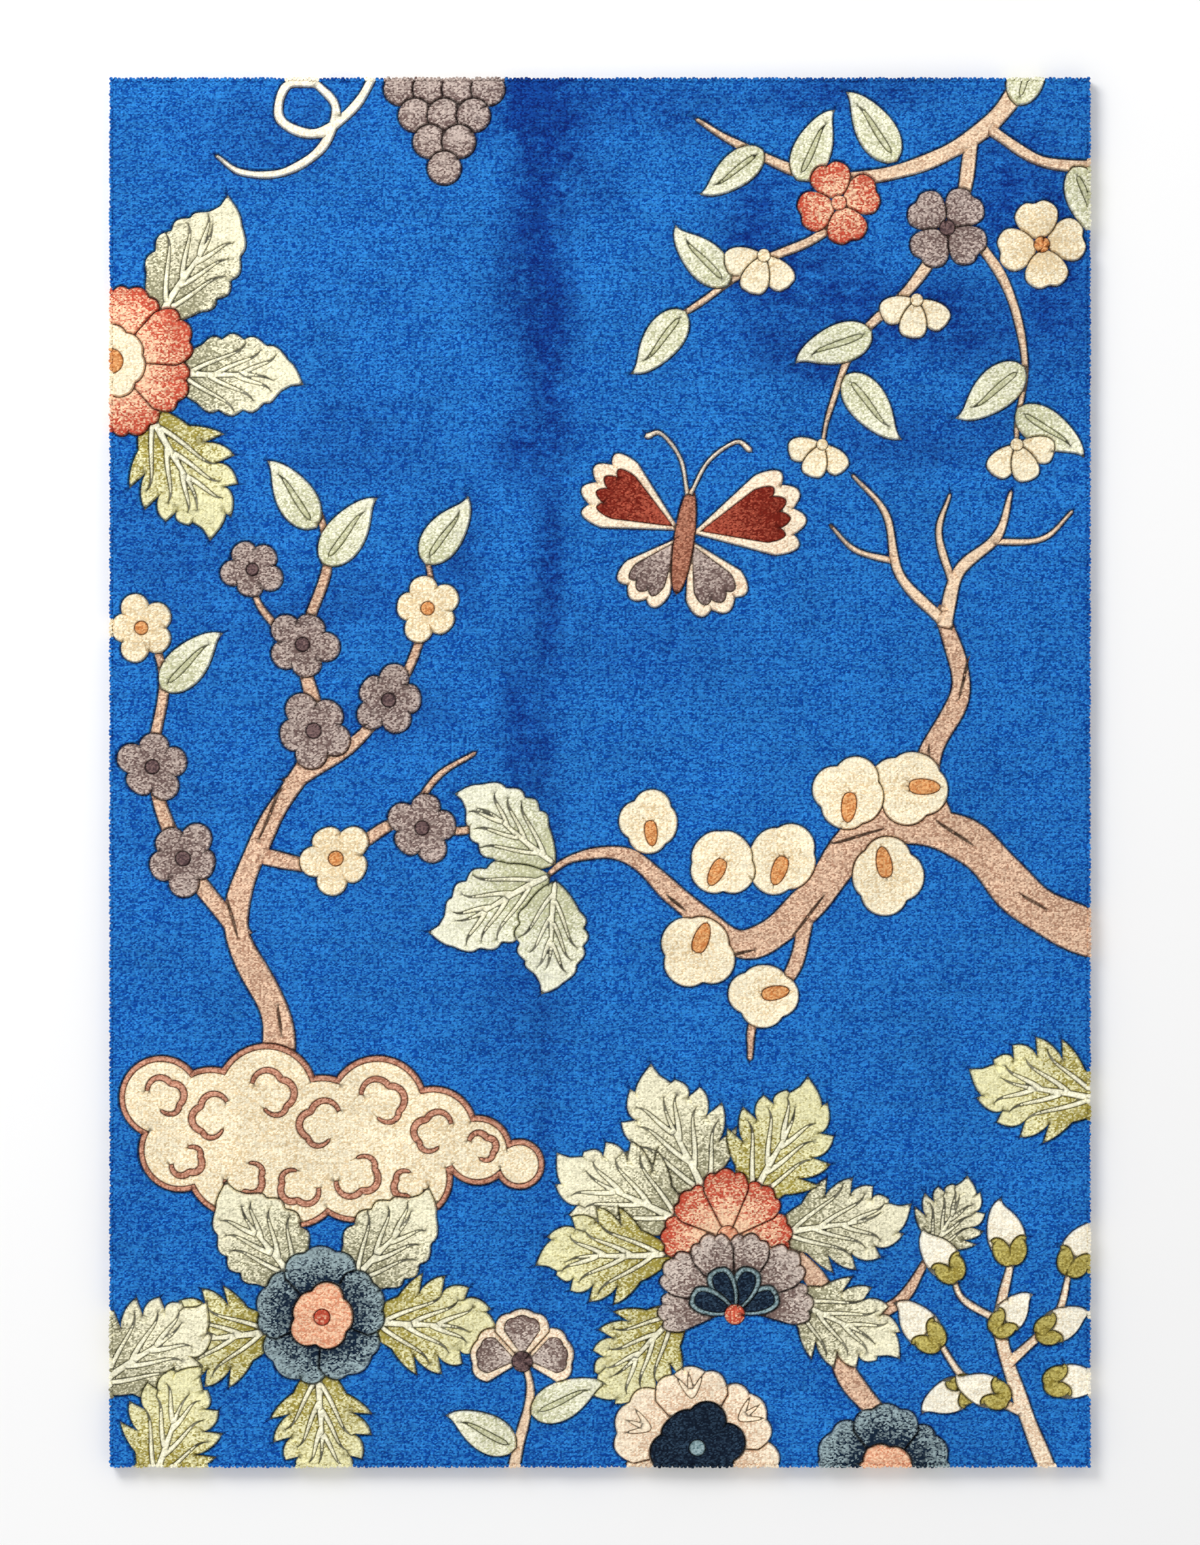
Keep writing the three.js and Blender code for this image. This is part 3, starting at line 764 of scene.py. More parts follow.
def plum_tree(design):
    design.branches("tan", PLUM_TREE, 0.45)
    design.bark("tan", PLUM_TREE)
    design.plain_leaves(PLUM_LEAVES)
    for flower in GREY_PLUMS:
        design.plum(flower, "taupe", "smoke")
    for flower in CREAM_PLUMS:
        design.plum(flower, "cream", "amber")


def winding_bough(design):
    design.branches("tan", BOUGH, 0.45)
    design.bark("tan", BOUGH)
    design.branches("sand", BARE_TWIGS, 0.2)
    for flower in MAGNOLIAS:
        design.magnolia(flower)
    design.cut_leaves(BOUGH_LEAVES, "celadon", True)


def cloud_bank(design):
    design.add("clay", [disc(p.x, p.y, p.radius + CLOUD_RIM, 60) for p in CLOUDS], even(0.45))
    design.add("cream", [disc(p.x, p.y, p.radius, 60) for p in CLOUDS], even(0.4), FINE)
    design.add("clay", [curl(*shape) for shape in CLOUD_CURLS], even(0.45), FINE)


def slate_flower(design):
    design.cut_leaves(SLATE_SAGE_LEAVES, "sage", True)
    design.cut_leaves(SLATE_OLIVE_LEAVES, "olive")
    design.bloom(SLATE_BLOOM, "slate", 0.98, 0.12)
    x, y, radius, turn = SLATE_HEART
    design.add("apricot", [rosette(x, y, radius, turn, 5, 0.16)], even(0.45))
    design.dot("coral", x, y, 6, 0.9)


def peonies(design):
    design.branches("tan", PEONY_STEMS, 0.4)
    design.cut_leaves(PEONY_SAGE_LEAVES, "sage")
    design.cut_leaves(PEONY_OLIVE_LEAVES, "olive")
    design.bloom(CORAL_PEONY, "coral", 0.04, 0.98, 0.3)
    design.dot("apricot", CORAL_PEONY.x, CORAL_PEONY.y + 2, 8, 0.7)
    design.bloom(MAUVE_PEONY, "mauve", 0.95, 0.12)
    design.rimmed_petals(PEONY_HEART, "steel", "navy", even(0.7))
    design.dot("coral", PEONY_HEART.x, PEONY_HEART.y - 2, 7.5, 0.85)
    design.bloom(CREAM_BLOOM, "bisque", 0.75, 0.05)
    design.petal_marks(CREAM_BLOOM, "bisque")
    x, y, radius, turn = NAVY_HEART
    design.add("navy", [rosette(x, y, radius, turn, 6, 0.14)], even(0.75))
    design.dot("steel", x, y, 6, 0.4)
    design.bloom(HEM_BLOOM, "slate", 0.98, 0.2)
    design.add("apricot", [rosette(HEM_BLOOM.x, HEM_BLOOM.y, 22, 10, 5, 0.16)], even(0.45))


def mauve_bloom(design):
    design.branches("sand", MAUVE_STEM, 0.2)
    x, y, radius = MAUVE_BLOOM[:3]
    step = MAUVE_BLOOM.sweep / MAUVE_BLOOM.petals
    left, middle, right = bearings(MAUVE_BLOOM)
    for bearing in (left, right, middle):
        outer = petal(x, y, radius, bearing, 1.08 * step, 3, 0.05, 0.2)
        inner = petal(*polar(x, y, 0.12 * radius, bearing), 0.76 * radius, bearing, 0.9 * step, 3, 0.05, 0.2)
        design.add("bisque", [outer], even(0.35))
        design.add("mauve", [inner], Tone(x, y, 0.2 * radius, 0.9 * radius, 0.2, 0.95), FINE)
    design.dot("smoke", x, y, 0.2 * radius)
    design.plain_leaves(MAUVE_LEAVES)


def bud_spray(design):
    design.branches("bisque", BUD_STALKS, 0.45)
    for bud in WHITE_BUDS:
        design.white_bud(bud)


def corner_leaves(design):
    design.cut_leaves(CORNER_SAGE_LEAVES, "sage")
    design.cut_leaves(CORNER_OLIVE_LEAVES, "olive")


LAYERS = (
    hanging_spray,
    floret_bunch,
    edge_bloom,
    butterfly,
    plum_tree,
    winding_bough,
    cloud_bank,
    slate_flower,
    peonies,
    mauve_bloom,
    bud_spray,
    corner_leaves,
)


def whole_design():
    """Every motif, the lowest first."""
    design = Design()
    for lay in LAYERS:
        lay(design)
    return design.motifs


MOTIFS = whole_design()

# ------------------------------------------------------------------ where each motif shows


def within(points, outline):
    """Whether each point is inside the outline, by the number of times that it winds round the point."""
    x, y = points[:, :1], points[:, 1:]
    ax, ay = outline.T
    bx, by = np.roll(outline, -1, axis=0).T
    rise = np.where(by == ay, 1, by - ay)
    to_the_right = x < ax + (y - ay) * (bx - ax) / rise
    up = (ay <= y) & (by > y) & to_the_right
    down = (by <= y) & (ay > y) & to_the_right
    return up.sum(axis=1) != down.sum(axis=1)


def topmost(points):
    """The index of the motif on top at each point, or -1 on the bare field."""
    found = np.full(len(points), -1)
    for index, motif in enumerate(MOTIFS):
        for outline in motif.outlines:
            near = np.all((points > outline.min(axis=0)) & (points < outline.max(axis=0)), axis=1)
            near = np.flatnonzero(near)
            if len(near):
                found[near[within(points[near], outline)]] = index
    return found


Edges = namedtuple("Edges", "starts ends outward bold")


def shown_edges():
    """The stretches of outline that no later motif covers and that lie on the rug."""
    starts = np.vstack([o for m in MOTIFS for o in m.outlines])
    ends = np.vstack([np.roll(o, -1, axis=0) for m in MOTIFS for o in m.outlines])
    owner = np.concatenate([np.full(len(o), i) for i, m in enumerate(MOTIFS) for o in m.outlines])
    bold = np.array([m.groove is BOLD for m in MOTIFS])[owner]
    along = ends - starts
    along /= np.linalg.norm(along, axis=1, keepdims=True) + 1e-9
    outward = np.stack([along[:, 1], -along[:, 0]], axis=1)
    middle = (starts + ends) / 2
    just_beside = 0.12
    shown = topmost(middle - just_beside * outward) == owner
    shown &= topmost(middle + just_beside * outward) != owner
    shown &= np.all(np.abs(middle) < (WIDTH / 2 + PACE, LENGTH / 2 + PACE), axis=1)
    return Edges(starts[shown], ends[shown], outward[shown], bold[shown])


EDGES = shown_edges()


def nearness_tree(chosen):
    """A tree of close points on the chosen edges, to measure how far a place is from a groove's bottom."""
    shares = np.arange(6) / 6
    starts, ends = EDGES.starts[chosen], EDGES.ends[chosen]
    places = (starts[:, None] + (ends - starts)[:, None] * shares[None, :, None]).reshape(-1, 2)
    tree = KDTree(len(places))
    for i, (x, y) in enumerate(places):
        tree.insert((x, y, 0), i)
    tree.balance()
    return tree


BOLD_TREE = nearness_tree(EDGES.bold)
FINE_TREE = nearness_tree(~EDGES.bold)


def distances(tree, points):
    """How far each point is from the nearest place in a tree."""
    return np.array([tree.find((x, y, 0))[2] for x, y in points])


# ------------------------------------------------------------------ flat meshes of the whole rug

Tiles = namedtuple("Tiles", "points triangles")


def rim_loop(half_x, half_y, pace):
    """Points round a rectangle, anticlockwise, its corners among them."""
    corners = np.array([(-half_x, -half_y), (half_x, -half_y), (half_x, half_y), (-half_x, half_y)])
    sides = []
    for start, end in zip(corners, np.roll(corners, -1, axis=0)):
        count = round(np.linalg.norm(end - start) / pace)
        sides.append(start + (end - start) * (np.arange(count) / count)[:, None])
    return np.vstack(sides)


def lattice(half_x, half_y, pitch):
    """A triangular lattice inside a rectangle."""
    along = np.arange(-half_y + pitch, half_y - 0.5 * pitch, pitch * math.sqrt(0.75))
    across = np.arange(-half_x + pitch, half_x - 0.5 * pitch, pitch)
    x, y = np.meshgrid(across, along)
    x = x + (np.arange(len(along)) % 2)[:, None] * pitch / 2
    keep = x < half_x - 0.5 * pitch
    return np.stack([x[keep], y[keep]], axis=1)


def spaced(points, gap):
    """One point from each square of the given size."""
    _, first = np.unique(np.round(points / gap).astype(int), axis=0, return_index=True)
    return points[np.sort(first)]


def tiled(half_x, half_y, lines, loose):
    """Triangles that fill a rectangle, with the lines and the loose points among their sides and corners."""
    rim = rim_loop(half_x, half_y, KNOT_ACROSS)
    starts, ends = lines
    points = np.vstack([rim, starts, ends, loose])
    count, first = len(starts), len(rim)
    sides = [(i, (i + 1) % first) for i in range(first)]
    sides += [(first + i, first + count + i) for i in range(count)]
    found, _, faces, _, _, _ = delaunay_2d_cdt([Vector(p) for p in points], sides, [], 0, 1e-3)
    flat = np.array([tuple(p) for p in found])
    triangles = np.array([f for f in faces if len(f) == 3])
    middles = flat[triangles].mean(axis=1)
    triangles = triangles[np.all(np.abs(middles) < (half_x, half_y), axis=1)]
    used, places = np.unique(triangles, return_inverse=True)
    return Tiles(flat[used], places.reshape(-1, 3))


NO_LINES = (np.empty((0, 2)), np.empty((0, 2)))
PILE_INSET = 0.9             # the pile's walls stand this far inside the tufts' outer sides
PILE_HALF = (WIDTH / 2 - PILE_INSET, LENGTH / 2 - PILE_INSET)
RIM_ROUND = 2.6              # how far in from the edge the pile's rim is rounded
RIM_CLEAR = 0.6              # no loose corner lies nearer to the edge than this
SHOULDER_GAP = 1.15          # about the least distance between two corners on a groove's shoulder
FIELD_PITCH = 5.2            # between corners away from the grooves
CLEAR_OF_BOLD, CLEAR_OF_FINE = 3.2, 2.6  # the least distance of those corners from a groove's bottom


def pile_tiles():
    """Fine tiles: rows of corners on the grooves' bottoms and shoulders, and a wider lattice between."""
    half_x, half_y = PILE_HALF
    middle = (EDGES.starts + EDGES.ends) / 2
    reach = np.where(EDGES.bold, BOLD.reach, FINE.reach)[:, None]
    shoulders = np.vstack([middle + side * reach * EDGES.outward for side in (1, -1)])
    bold = np.tile(EDGES.bold, 2)
    clear = distances(BOLD_TREE, shoulders) > np.where(bold, 0.8 * BOLD.reach, 0.9 * FINE.reach)
    clear &= distances(FINE_TREE, shoulders) > 0.8 * FINE.reach
    shoulders = spaced(shoulders[clear], SHOULDER_GAP)
    field = lattice(half_x - RIM_ROUND, half_y - RIM_ROUND, FIELD_PITCH)
    clear = (distances(BOLD_TREE, field) > CLEAR_OF_BOLD) & (distances(FINE_TREE, field) > CLEAR_OF_FINE)
    insets = (0.45 * RIM_ROUND, RIM_ROUND)
    rims = [rim_loop(half_x - inset, half_y - inset, KNOT_ACROSS) for inset in insets]
    loose = np.vstack([shoulders, field[clear], *rims])
    loose = loose[np.all(np.abs(loose) < (half_x - RIM_CLEAR, half_y - RIM_CLEAR), axis=1)]
    return tiled(half_x, half_y, (EDGES.starts, EDGES.ends), loose)


# Nine soft waves over the whole pile, each with a bearing, a phase and a length.
rng = np.random.default_rng(7)
FULL_TURN = 2 * math.pi
WAVES = [(rng.uniform(0, FULL_TURN), rng.uniform(0, FULL_TURN), rng.uniform(45, 190)) for _ in range(9)]


def unevenness(points):
    """Soft hills and hollows between -1 and 1."""
    total = sum(
        np.sin(2 * np.pi * (points[:, 0] * math.cos(a) + points[:, 1] * math.sin(a)) / length + phase)
        for a, phase, length in WAVES
    )
    return total / math.sqrt(len(WAVES))


PRESS_GAIN = 1.4             # marks that overlap add up, but never past 1


def pressed(points):
    """How far the nap is pressed over at each point, from 0 to 1."""
    total = np.zeros(len(points))
    for mark in NAP_MARKS:
        turn = math.radians(mark.turn)
        away = points - (mark.x, mark.y)
        u = (away[:, 0] * math.cos(turn) + away[:, 1] * math.sin(turn)) / mark.across
        v = (away[:, 1] * math.cos(turn) - away[:, 0] * math.sin(turn)) / mark.along
        total = total + mark.depth * np.exp(-(u**2) - v**4)
    return 1 - np.exp(-PRESS_GAIN * total)


def groove_share(points, tree, groove):
    """How deep each point lies in the grooves of one kind, from 0 to 1."""
    return np.clip(1 - distances(tree, points) / groove.reach, 0, 1)


# A crease runs the whole length of the rug and wanders a little from side to side.
CREASE_X = -40
CREASE_DEPTH = 0.8
CREASE_HALF_WIDTH = 9
CREASE_WANDER = 2.0

UNEVEN = 0.2                 # height of the soft hills
PRESSED_DROP = 0.25          # how far pressed nap sinks
BELOW_TOP = 0.12             # keeps most of the hills under the motifs' full height
RIM_DROP = 1.8               # how far the pile's rim is rounded down
# The darkness at a groove's bottom is painted shade, put into the pile's colour.
BOLD_SHADE, FINE_SHADE = 0.86, 0.92  # how dark the bottoms of the two kinds of groove are


def pile_surface(points):
    """Each point's height, and how deep it lies in a groove, from 0 to 1, scaled to how dark the shade
    painted there is.
    """
    height = np.where(topmost(points) >= 0, MOTIF_TOP, FIELD_TOP) - BELOW_TOP
    height = height + UNEVEN * unevenness(points) - PRESSED_DROP * pressed(points)
    wander = CREASE_WANDER * np.sin(points[:, 1] / 70)
    fold = np.clip(1 - np.abs(points[:, 0] - CREASE_X - wander) / CREASE_HALF_WIDTH, 0, 1)
    height = height - CREASE_DEPTH * (3 - 2 * fold) * fold**2
    bold = groove_share(points, BOLD_TREE, BOLD)
    fine = groove_share(points, FINE_TREE, FINE)
    height = np.minimum(height + bold * (BOLD.bottom - height), height + fine * (FINE.bottom - height))
    inset = np.min(PILE_HALF - np.abs(points), axis=1)
    height = height - RIM_DROP * np.clip(1 - inset / RIM_ROUND, 0, 1) ** 2
    return np.minimum(height, MOTIF_TOP), np.maximum(BOLD_SHADE * bold, FINE_SHADE * fine)


# ------------------------------------------------------------------ solid pieces


def rim_order(tiles, half_x, half_y):
    """The corners on the rim, anticlockwise, and how far round each one is."""
    x, y = tiles.points.T
    near = 1e-3
    sides = [
        (y < near - half_y, x + half_x, 0),
        (x > half_x - near, y + half_y, 2 * half_x),
        (y > half_y - near, half_x - x, 2 * half_x + 2 * half_y),
        (x < near - half_x, half_y - y, 4 * half_x + 2 * half_y),
    ]
    around = np.full(len(x), np.inf)
    for on_side, gone, before in reversed(sides):
        around = np.where(on_side, before + gone, around)
    order = np.argsort(around)
    order = order[: np.isfinite(around).sum()]
    return order, around[order]


def wall(upper, upper_at, lower, lower_at, once_round):
    """Triangles that face outwards between two rims, which may have different numbers of corners."""
    upper, lower = np.append(upper, upper[0]), np.append(lower, lower[0])
    upper_at, lower_at = np.append(upper_at, once_round), np.append(lower_at, once_round)
    triangles = []
    i = j = 0
    while i < len(upper) - 1 or j < len(lower) - 1:
        use_upper = j == len(lower) - 1 or (i < len(upper) - 1 and upper_at[i + 1] <= lower_at[j + 1])
        if use_upper:
            triangles.append((upper[i], lower[j], upper[i + 1]))
            i += 1
        else:
            triangles.append((upper[i], lower[j], lower[j + 1]))
            j += 1
    return np.array(triangles)


def yarn_values(points, motif_index):
    """The light yarn, the deep yarn and the share of deep knots at each point of the given motifs."""
    yarn = np.array([YARN_NAMES.index(m.yarn) for m in MOTIFS] + [YARN_NAMES.index("ground")])
    pairs = (np.array(list(YARNS.values())) / 255.0) ** 2.2
    pairs = np.pad(pairs, ((0, 0), (0, 0), (0, 1)), constant_values=1.0)
    tones = np.array([m.tone for m in MOTIFS] + [even(0.5)])
    x, y, start, end, near, far = tones[motif_index].T
    gone = np.hypot(points[:, 0] - x, points[:, 1] - y)
    share = np.clip((gone - start) / np.maximum(end - start, 1e-6), 0, 1)
    pair = pairs[yarn[motif_index]]
    return pair[:, 0], pair[:, 1], near + share * (far - near)


LAYER_KEYS = {"FLOAT": "value", "FLOAT_COLOR": "color", "FLOAT_VECTOR": "vector"}


def store(mesh, domain, kind, layers):
    """Named values, one for each point or face corner of a mesh."""
    for name, values in layers.items():
        layer = mesh.attributes.new(name, kind, domain)
        layer.data.foreach_set(LAYER_KEYS[kind], np.asarray(values, dtype=np.float32).reshape(-1))


def store_yarns(mesh, domain, points, motif_index):
    """The yarns of each point or face corner, and whether it is on the bare field."""
    light, deep, share = yarn_values(points, motif_index)
    store(mesh, domain, "FLOAT_COLOR", {"yarn_light": light, "yarn_deep": deep})
    store(mesh, domain, "FLOAT", {"deep_share": share, "on_field": motif_index < 0})


def raised(points, height):
    """Flat points lifted to one height, or to a height each."""
    return np.column_stack([points, np.broadcast_to(height, len(points))])


Slab = namedtuple("Slab", "name half top top_height bottom bottom_height values materials slots")


def make_slab(slab):
    """A closed piece between two sets of tiles. Its slots are the materials of its top, walls and bottom."""
    top, bottom = slab.top, slab.bottom
    count = len(top.points)
    corners = np.vstack([raised(top.points, slab.top_height), raised(bottom.points, slab.bottom_height)])
    upper, upper_at = rim_order(top, *slab.half)
    lower, lower_at = rim_order(bottom, *slab.half)
    walls = wall(upper, upper_at, lower + count, lower_at, 4 * sum(slab.half))
    triangles = np.vstack([top.triangles, walls, bottom.triangles[:, ::-1] + count])
    inside = np.array(slab.half) - 0.2
    middles = np.clip(corners[triangles].mean(axis=1)[:, :2], -inside, inside)
    mesh = bpy.data.meshes.new(slab.name)
    mesh.from_pydata((corners * MM).tolist(), [], triangles.tolist())
    store_yarns(mesh, "CORNER", corners[triangles.reshape(-1), :2], np.repeat(topmost(middles), 3))
    unseen = np.zeros(len(bottom.points))
    store(mesh, "POINT", "FLOAT", {key: np.append(values, unseen) for key, values in slab.values.items()})
    for material in slab.materials:
        mesh.materials.append(material)
    slot = np.repeat(slab.slots, (len(top.triangles), len(walls), len(bottom.triangles)))
    mesh.polygons.foreach_set("material_index", slot.astype(np.int32))
    mesh.validate()
    mesh.update()
    return new_object(slab.name, mesh)


# ------------------------------------------------------------------ materials


class Value:
    """A number that varies over a material, with plain arithmetic."""

    def __init__(self, nodes, socket):
        self.nodes, self.socket = nodes, socket

    def math(self, operation, *terms):
        """The result of a Math node on values and plain numbers."""
        return self.nodes.number("ShaderNodeMath", {"operation": operation}, dict(enumerate(terms)), "Value")

    def __add__(self, other):
        return self.math("ADD", self, other)

    def __mul__(self, other):
        return self.math("MULTIPLY", self, other)

    def __sub__(self, other):
        return self.math("SUBTRACT", self, other)

    def __rsub__(self, other):
        return self.math("SUBTRACT", other, self)

    def __truediv__(self, other):
        return self.math("DIVIDE", self, other)

    __radd__, __rmul__ = __add__, __mul__

    def clipped(self):
        """Kept between 0 and 1."""
        return self.math("MINIMUM", self.math("MAXIMUM", self, 0.0), 1.0)


def live(sockets, key):
    """The socket with this number or name among those in use."""
    used = [s for s in sockets if s.enabled]
    if isinstance(key, int):
        return used[key]
    return next(s for s in used if key in (s.identifier, s.name))


class Nodes:
    """A tree of nodes, built one by one."""

    def __init__(self, tree):
        self.tree = tree

    def set(self, node, inputs):
        """Link or fill the node's inputs."""
        for key, value in inputs.items():
            place = live(node.inputs, key)
            value = value.socket if isinstance(value, Value) else value
            if isinstance(value, bpy.types.NodeSocket):
                self.tree.links.new(value, place)
            else:
                place.default_value = value

    def add(self, kind, settings, inputs, output=0):
        """An output of a new node, its settings made first and then its inputs."""
        node = self.tree.nodes.new(kind)
        for key, value in settings.items():
            setattr(node, key, value)
        self.set(node, inputs)
        return live(node.outputs, output)

    def number(self, kind, settings, inputs, output):
        """The same, as a value to reckon with."""
        return Value(self, self.add(kind, settings, inputs, output))


class Paint(Nodes):
    """One material and the nodes that it is made of."""

    def __init__(self, name, constants):
        self.material = bpy.data.materials.new(name)
        self.material.use_nodes = True
        super().__init__(self.material.node_tree)
        self.surface = self.tree.nodes["Principled BSDF"]
        self.set(self.surface, constants)

    def place(self, x_size, y_size, z_size):
        """The place on the object, measured in the given sizes in millimetres."""
        here = self.add("ShaderNodeTexCoord", {}, {}, "Object")
        scale = tuple(1 / (MM * size) for size in (x_size, y_size, z_size))
        return self.add("ShaderNodeMapping", {}, {"Vector": here, "Scale": scale}, "Vector")

    def noise(self, x_size, y_size, z_size, detail=2.0):
        """Soft noise between about 0.2 and 0.8, with patches of about the given sizes in millimetres."""
        inputs = {"Vector": self.place(x_size, y_size, z_size), "Scale": 1.0, "Detail": detail}
        return self.number("ShaderNodeTexNoise", {}, inputs, "Fac")

    def stored(self, name):
        """A number kept with the mesh."""
        return self.number("ShaderNodeAttribute", {"attribute_name": name}, {}, "Fac")

    def blended(self, factor, one, other, blend="MIX"):
        """Two colours, the second laid over the first or multiplied into it."""
        settings = {"data_type": "RGBA", "blend_type": blend, "clamp_factor": True}
        inputs = {"Factor_Float": factor, "A_Color": one, "B_Color": other}
        return self.add("ShaderNodeMix", settings, inputs, "Result_Color")

    def scaled(self, colour, amount):
        """A colour made brighter or darker."""
        inputs = {"Vector": colour, "Scale": amount}
        return self.add("ShaderNodeVectorMath", {"operation": "SCALE"}, inputs, "Vector")

    def cells(self, across, along, jitter):
        """Cells in rows: how far each place is from its cell's middle, and two numbers for each cell."""
        settings = {"voronoi_dimensions": "2D", "feature": "F1"}
        inputs = {"Vector": self.place(across, along, 1 / MM), "Scale": 1.0, "Randomness": jitter}
        cell = self.add("ShaderNodeTexVoronoi", settings, inputs, "Color")
        parts = self.add("ShaderNodeSeparateColor", {}, {"Color": cell}, "Red").node.outputs
        sockets = (cell.node.outputs["Distance"], parts["Red"], parts["Green"])
        return [Value(self, socket) for socket in sockets]

    def between_rows(self, pitch):
        """How near each place is to the gap between two rows across the rug, from 0 to 1."""
        up = self.number("ShaderNodeSeparateXYZ", {}, {"Vector": self.place(pitch, pitch, pitch)}, "Y")
        return up.math("PINGPONG", up + 0.35 * self.noise(14, 14, 14), 0.5) * 2

    def yarns(self, chance, share, softness):
        """The light and the deep yarn, knot by knot, with the given share of deep ones."""
        named = [{"attribute_name": key} for key in ("yarn_light", "yarn_deep")]
        light, deep = (self.add("ShaderNodeAttribute", key, {}, "Color") for key in named)
        return self.blended(((share - chance) / softness + 0.5).clipped(), light, deep)

    def finish(self, colour, height, relief, strength):
        """The material, with its colour and a relief of the given height in millimetres."""
        bump = {"Height": height, "Distance": relief * MM, "Strength": strength}
        normal = self.add("ShaderNodeBump", {}, bump, "Normal")
        self.set(self.surface, {"Base Color": colour, "Normal": normal})
        return self.material


def swing(noise, amount):
    """A factor of 1 at the noise's middle, and up to half the amount more or less."""
    return 1 + amount * (noise - 0.5)


# The first colour is painted shade for pressed-over nap, multiplied into the pile's colour; the others are
# the cotton's own.
PRESSED_NAP_SHADE_COLOUR = (0.16, 0.28, 0.5, 1.0)
BARE_COTTON = (0.62, 0.56, 0.45, 1.0)
COTTON_THREADS = (0.42, 0.37, 0.29, 1.0), (0.7, 0.65, 0.54, 1.0)


def pile_material():
    """Silky cut pile: rows of knots of six yarn ends, with painted shade in the grooves, in the gaps between
    knots and rows, and where the nap is pressed over.
    """
    silky = {"Roughness": 0.8, "Sheen Weight": 0.05, "Sheen Roughness": 0.4, "Specular IOR Level": 0.1}
    paint = Paint("silky pile", silky)
    on_field = paint.stored("on_field")

    # Knots, the yarn ends in them, and the gaps between both.
    knot_middle, _, knot_shade = paint.cells(KNOT_ACROSS, KNOT_ALONG, 0.3)
    end_middle, chance, end_shade = paint.cells(KNOT_ACROSS / 2, KNOT_ALONG / 3, 0.8)
    knot_gaps = ((knot_middle - 0.15) * 2.0).clipped()
    end_gaps = ((end_middle - 0.3) * 2.0).clipped()
    row_gaps = paint.between_rows(KNOT_ALONG)
    bright = 0.9 + 0.14 * on_field + 0.12 * knot_shade + (0.34 - 0.08 * on_field) * end_shade
    # Painted shade in the gaps between yarn ends, between knots and between rows.
    bright = bright * (1 - 0.16 * end_gaps) * (1 - 0.13 * knot_gaps)
    bright = bright * (1 - (0.08 + 0.2 * on_field) * row_gaps)

    # Painted shade of the nap's uneven lay in wide patches; uneven dye and shearing in streaks along the rows
    # and single fibres.
    fibres = paint.noise(0.9, 0.9, 6)
    bright = bright * swing(paint.noise(55, 75, 60, detail=4.0), 0.4)
    bright = bright * swing(paint.noise(60, 5, 60), 0.36) * swing(fibres, 0.3)
    bright = bright * swing(paint.noise(4.0, 1.3, 6), 0.36 * on_field)

    # Painted shade in the grooves, firmer round a motif than out on the field.
    groove = ((paint.stored("shorn") - 0.4) * (1.0 + 1.4 * paint.noise(9, 9, 9))).clipped()
    bright = bright * (1 - (0.9 - 0.45 * on_field) * groove)
    share = paint.stored("deep_share") + 0.4 * (paint.noise(24, 24, 24) - 0.5)
    colour = paint.scaled(paint.yarns(chance, share, softness=0.65), bright)

    # Painted shade where the nap is pressed over, broken up into small and large patches.
    small_shade_patches = 3.6 * (paint.noise(7, 5, 7, detail=3.0) - 0.5)
    large_shade_patches = 2.2 * (paint.noise(34, 50, 34) - 0.5)
    nap = paint.stored("nap") * (0.1 + 0.9 * on_field)
    pressed_nap_shade = (nap * (1.15 + small_shade_patches + large_shade_patches)).clipped()
    colour = paint.blended(pressed_nap_shade, colour, PRESSED_NAP_SHADE_COLOUR, "MULTIPLY")
    return paint.finish(colour, fibres * 0.4 - end_gaps * 0.4 - knot_gaps * 0.8, relief=0.5, strength=0.6)


def back_material():
    """Flat knots on the underside, in the same yarns, with cotton showing between their rows."""
    paint = Paint("knotted back", {"Roughness": 0.85, "Sheen Weight": 0.1})
    middle, chance, shade = paint.cells(KNOT_ACROSS, KNOT_ALONG, 0.25)
    gaps = ((middle - 0.3) * 2.5).clipped()
    colour = paint.scaled(paint.yarns(chance, paint.stored("deep_share"), 0.5), 0.7 + 0.3 * shade)
    return paint.finish(paint.blended(0.45 * gaps, colour, BARE_COTTON), 1 - gaps, relief=0.4, strength=0.6)


def cotton_material():
    """The undyed cotton of the foundation."""
    paint = Paint("cotton", {"Roughness": 0.9, "Sheen Weight": 0.15})
    threads = paint.noise(2.2, 2.2, 0.7)
    colour = paint.blended(threads, *COTTON_THREADS)
    return paint.finish(colour, threads, relief=0.3, strength=0.6)


PILE, BACK, COTTON = pile_material(), back_material(), cotton_material()

# ------------------------------------------------------------------ the pile and its foundation

WIDE_PITCH = 25.0            # between corners of a plain flat side
BACKING_INSET = 0.4
BACK_BORDER = 3              # no outline of the design comes nearer to the underside's edge than this


def make_pile():
    """The shorn pile, down to the top of the foundation."""
    top = pile_tiles()
    height, shorn = pile_surface(top.points)
    bottom = tiled(*PILE_HALF, NO_LINES, lattice(*PILE_HALF, WIDE_PITCH))
    # The pile keeps two masks for painted shade: one for its grooves, one for pressed-over nap.
    values = {"shorn": shorn, "nap": pressed(top.points)}
    pile = Slab(
        name="pile",
        half=PILE_HALF,
        top=top,
        top_height=height,
        bottom=bottom,
        bottom_height=BACKING,
        values=values,
        materials=[PILE],
        slots=(0, 0, 0),
    )
    return make_slab(pile)


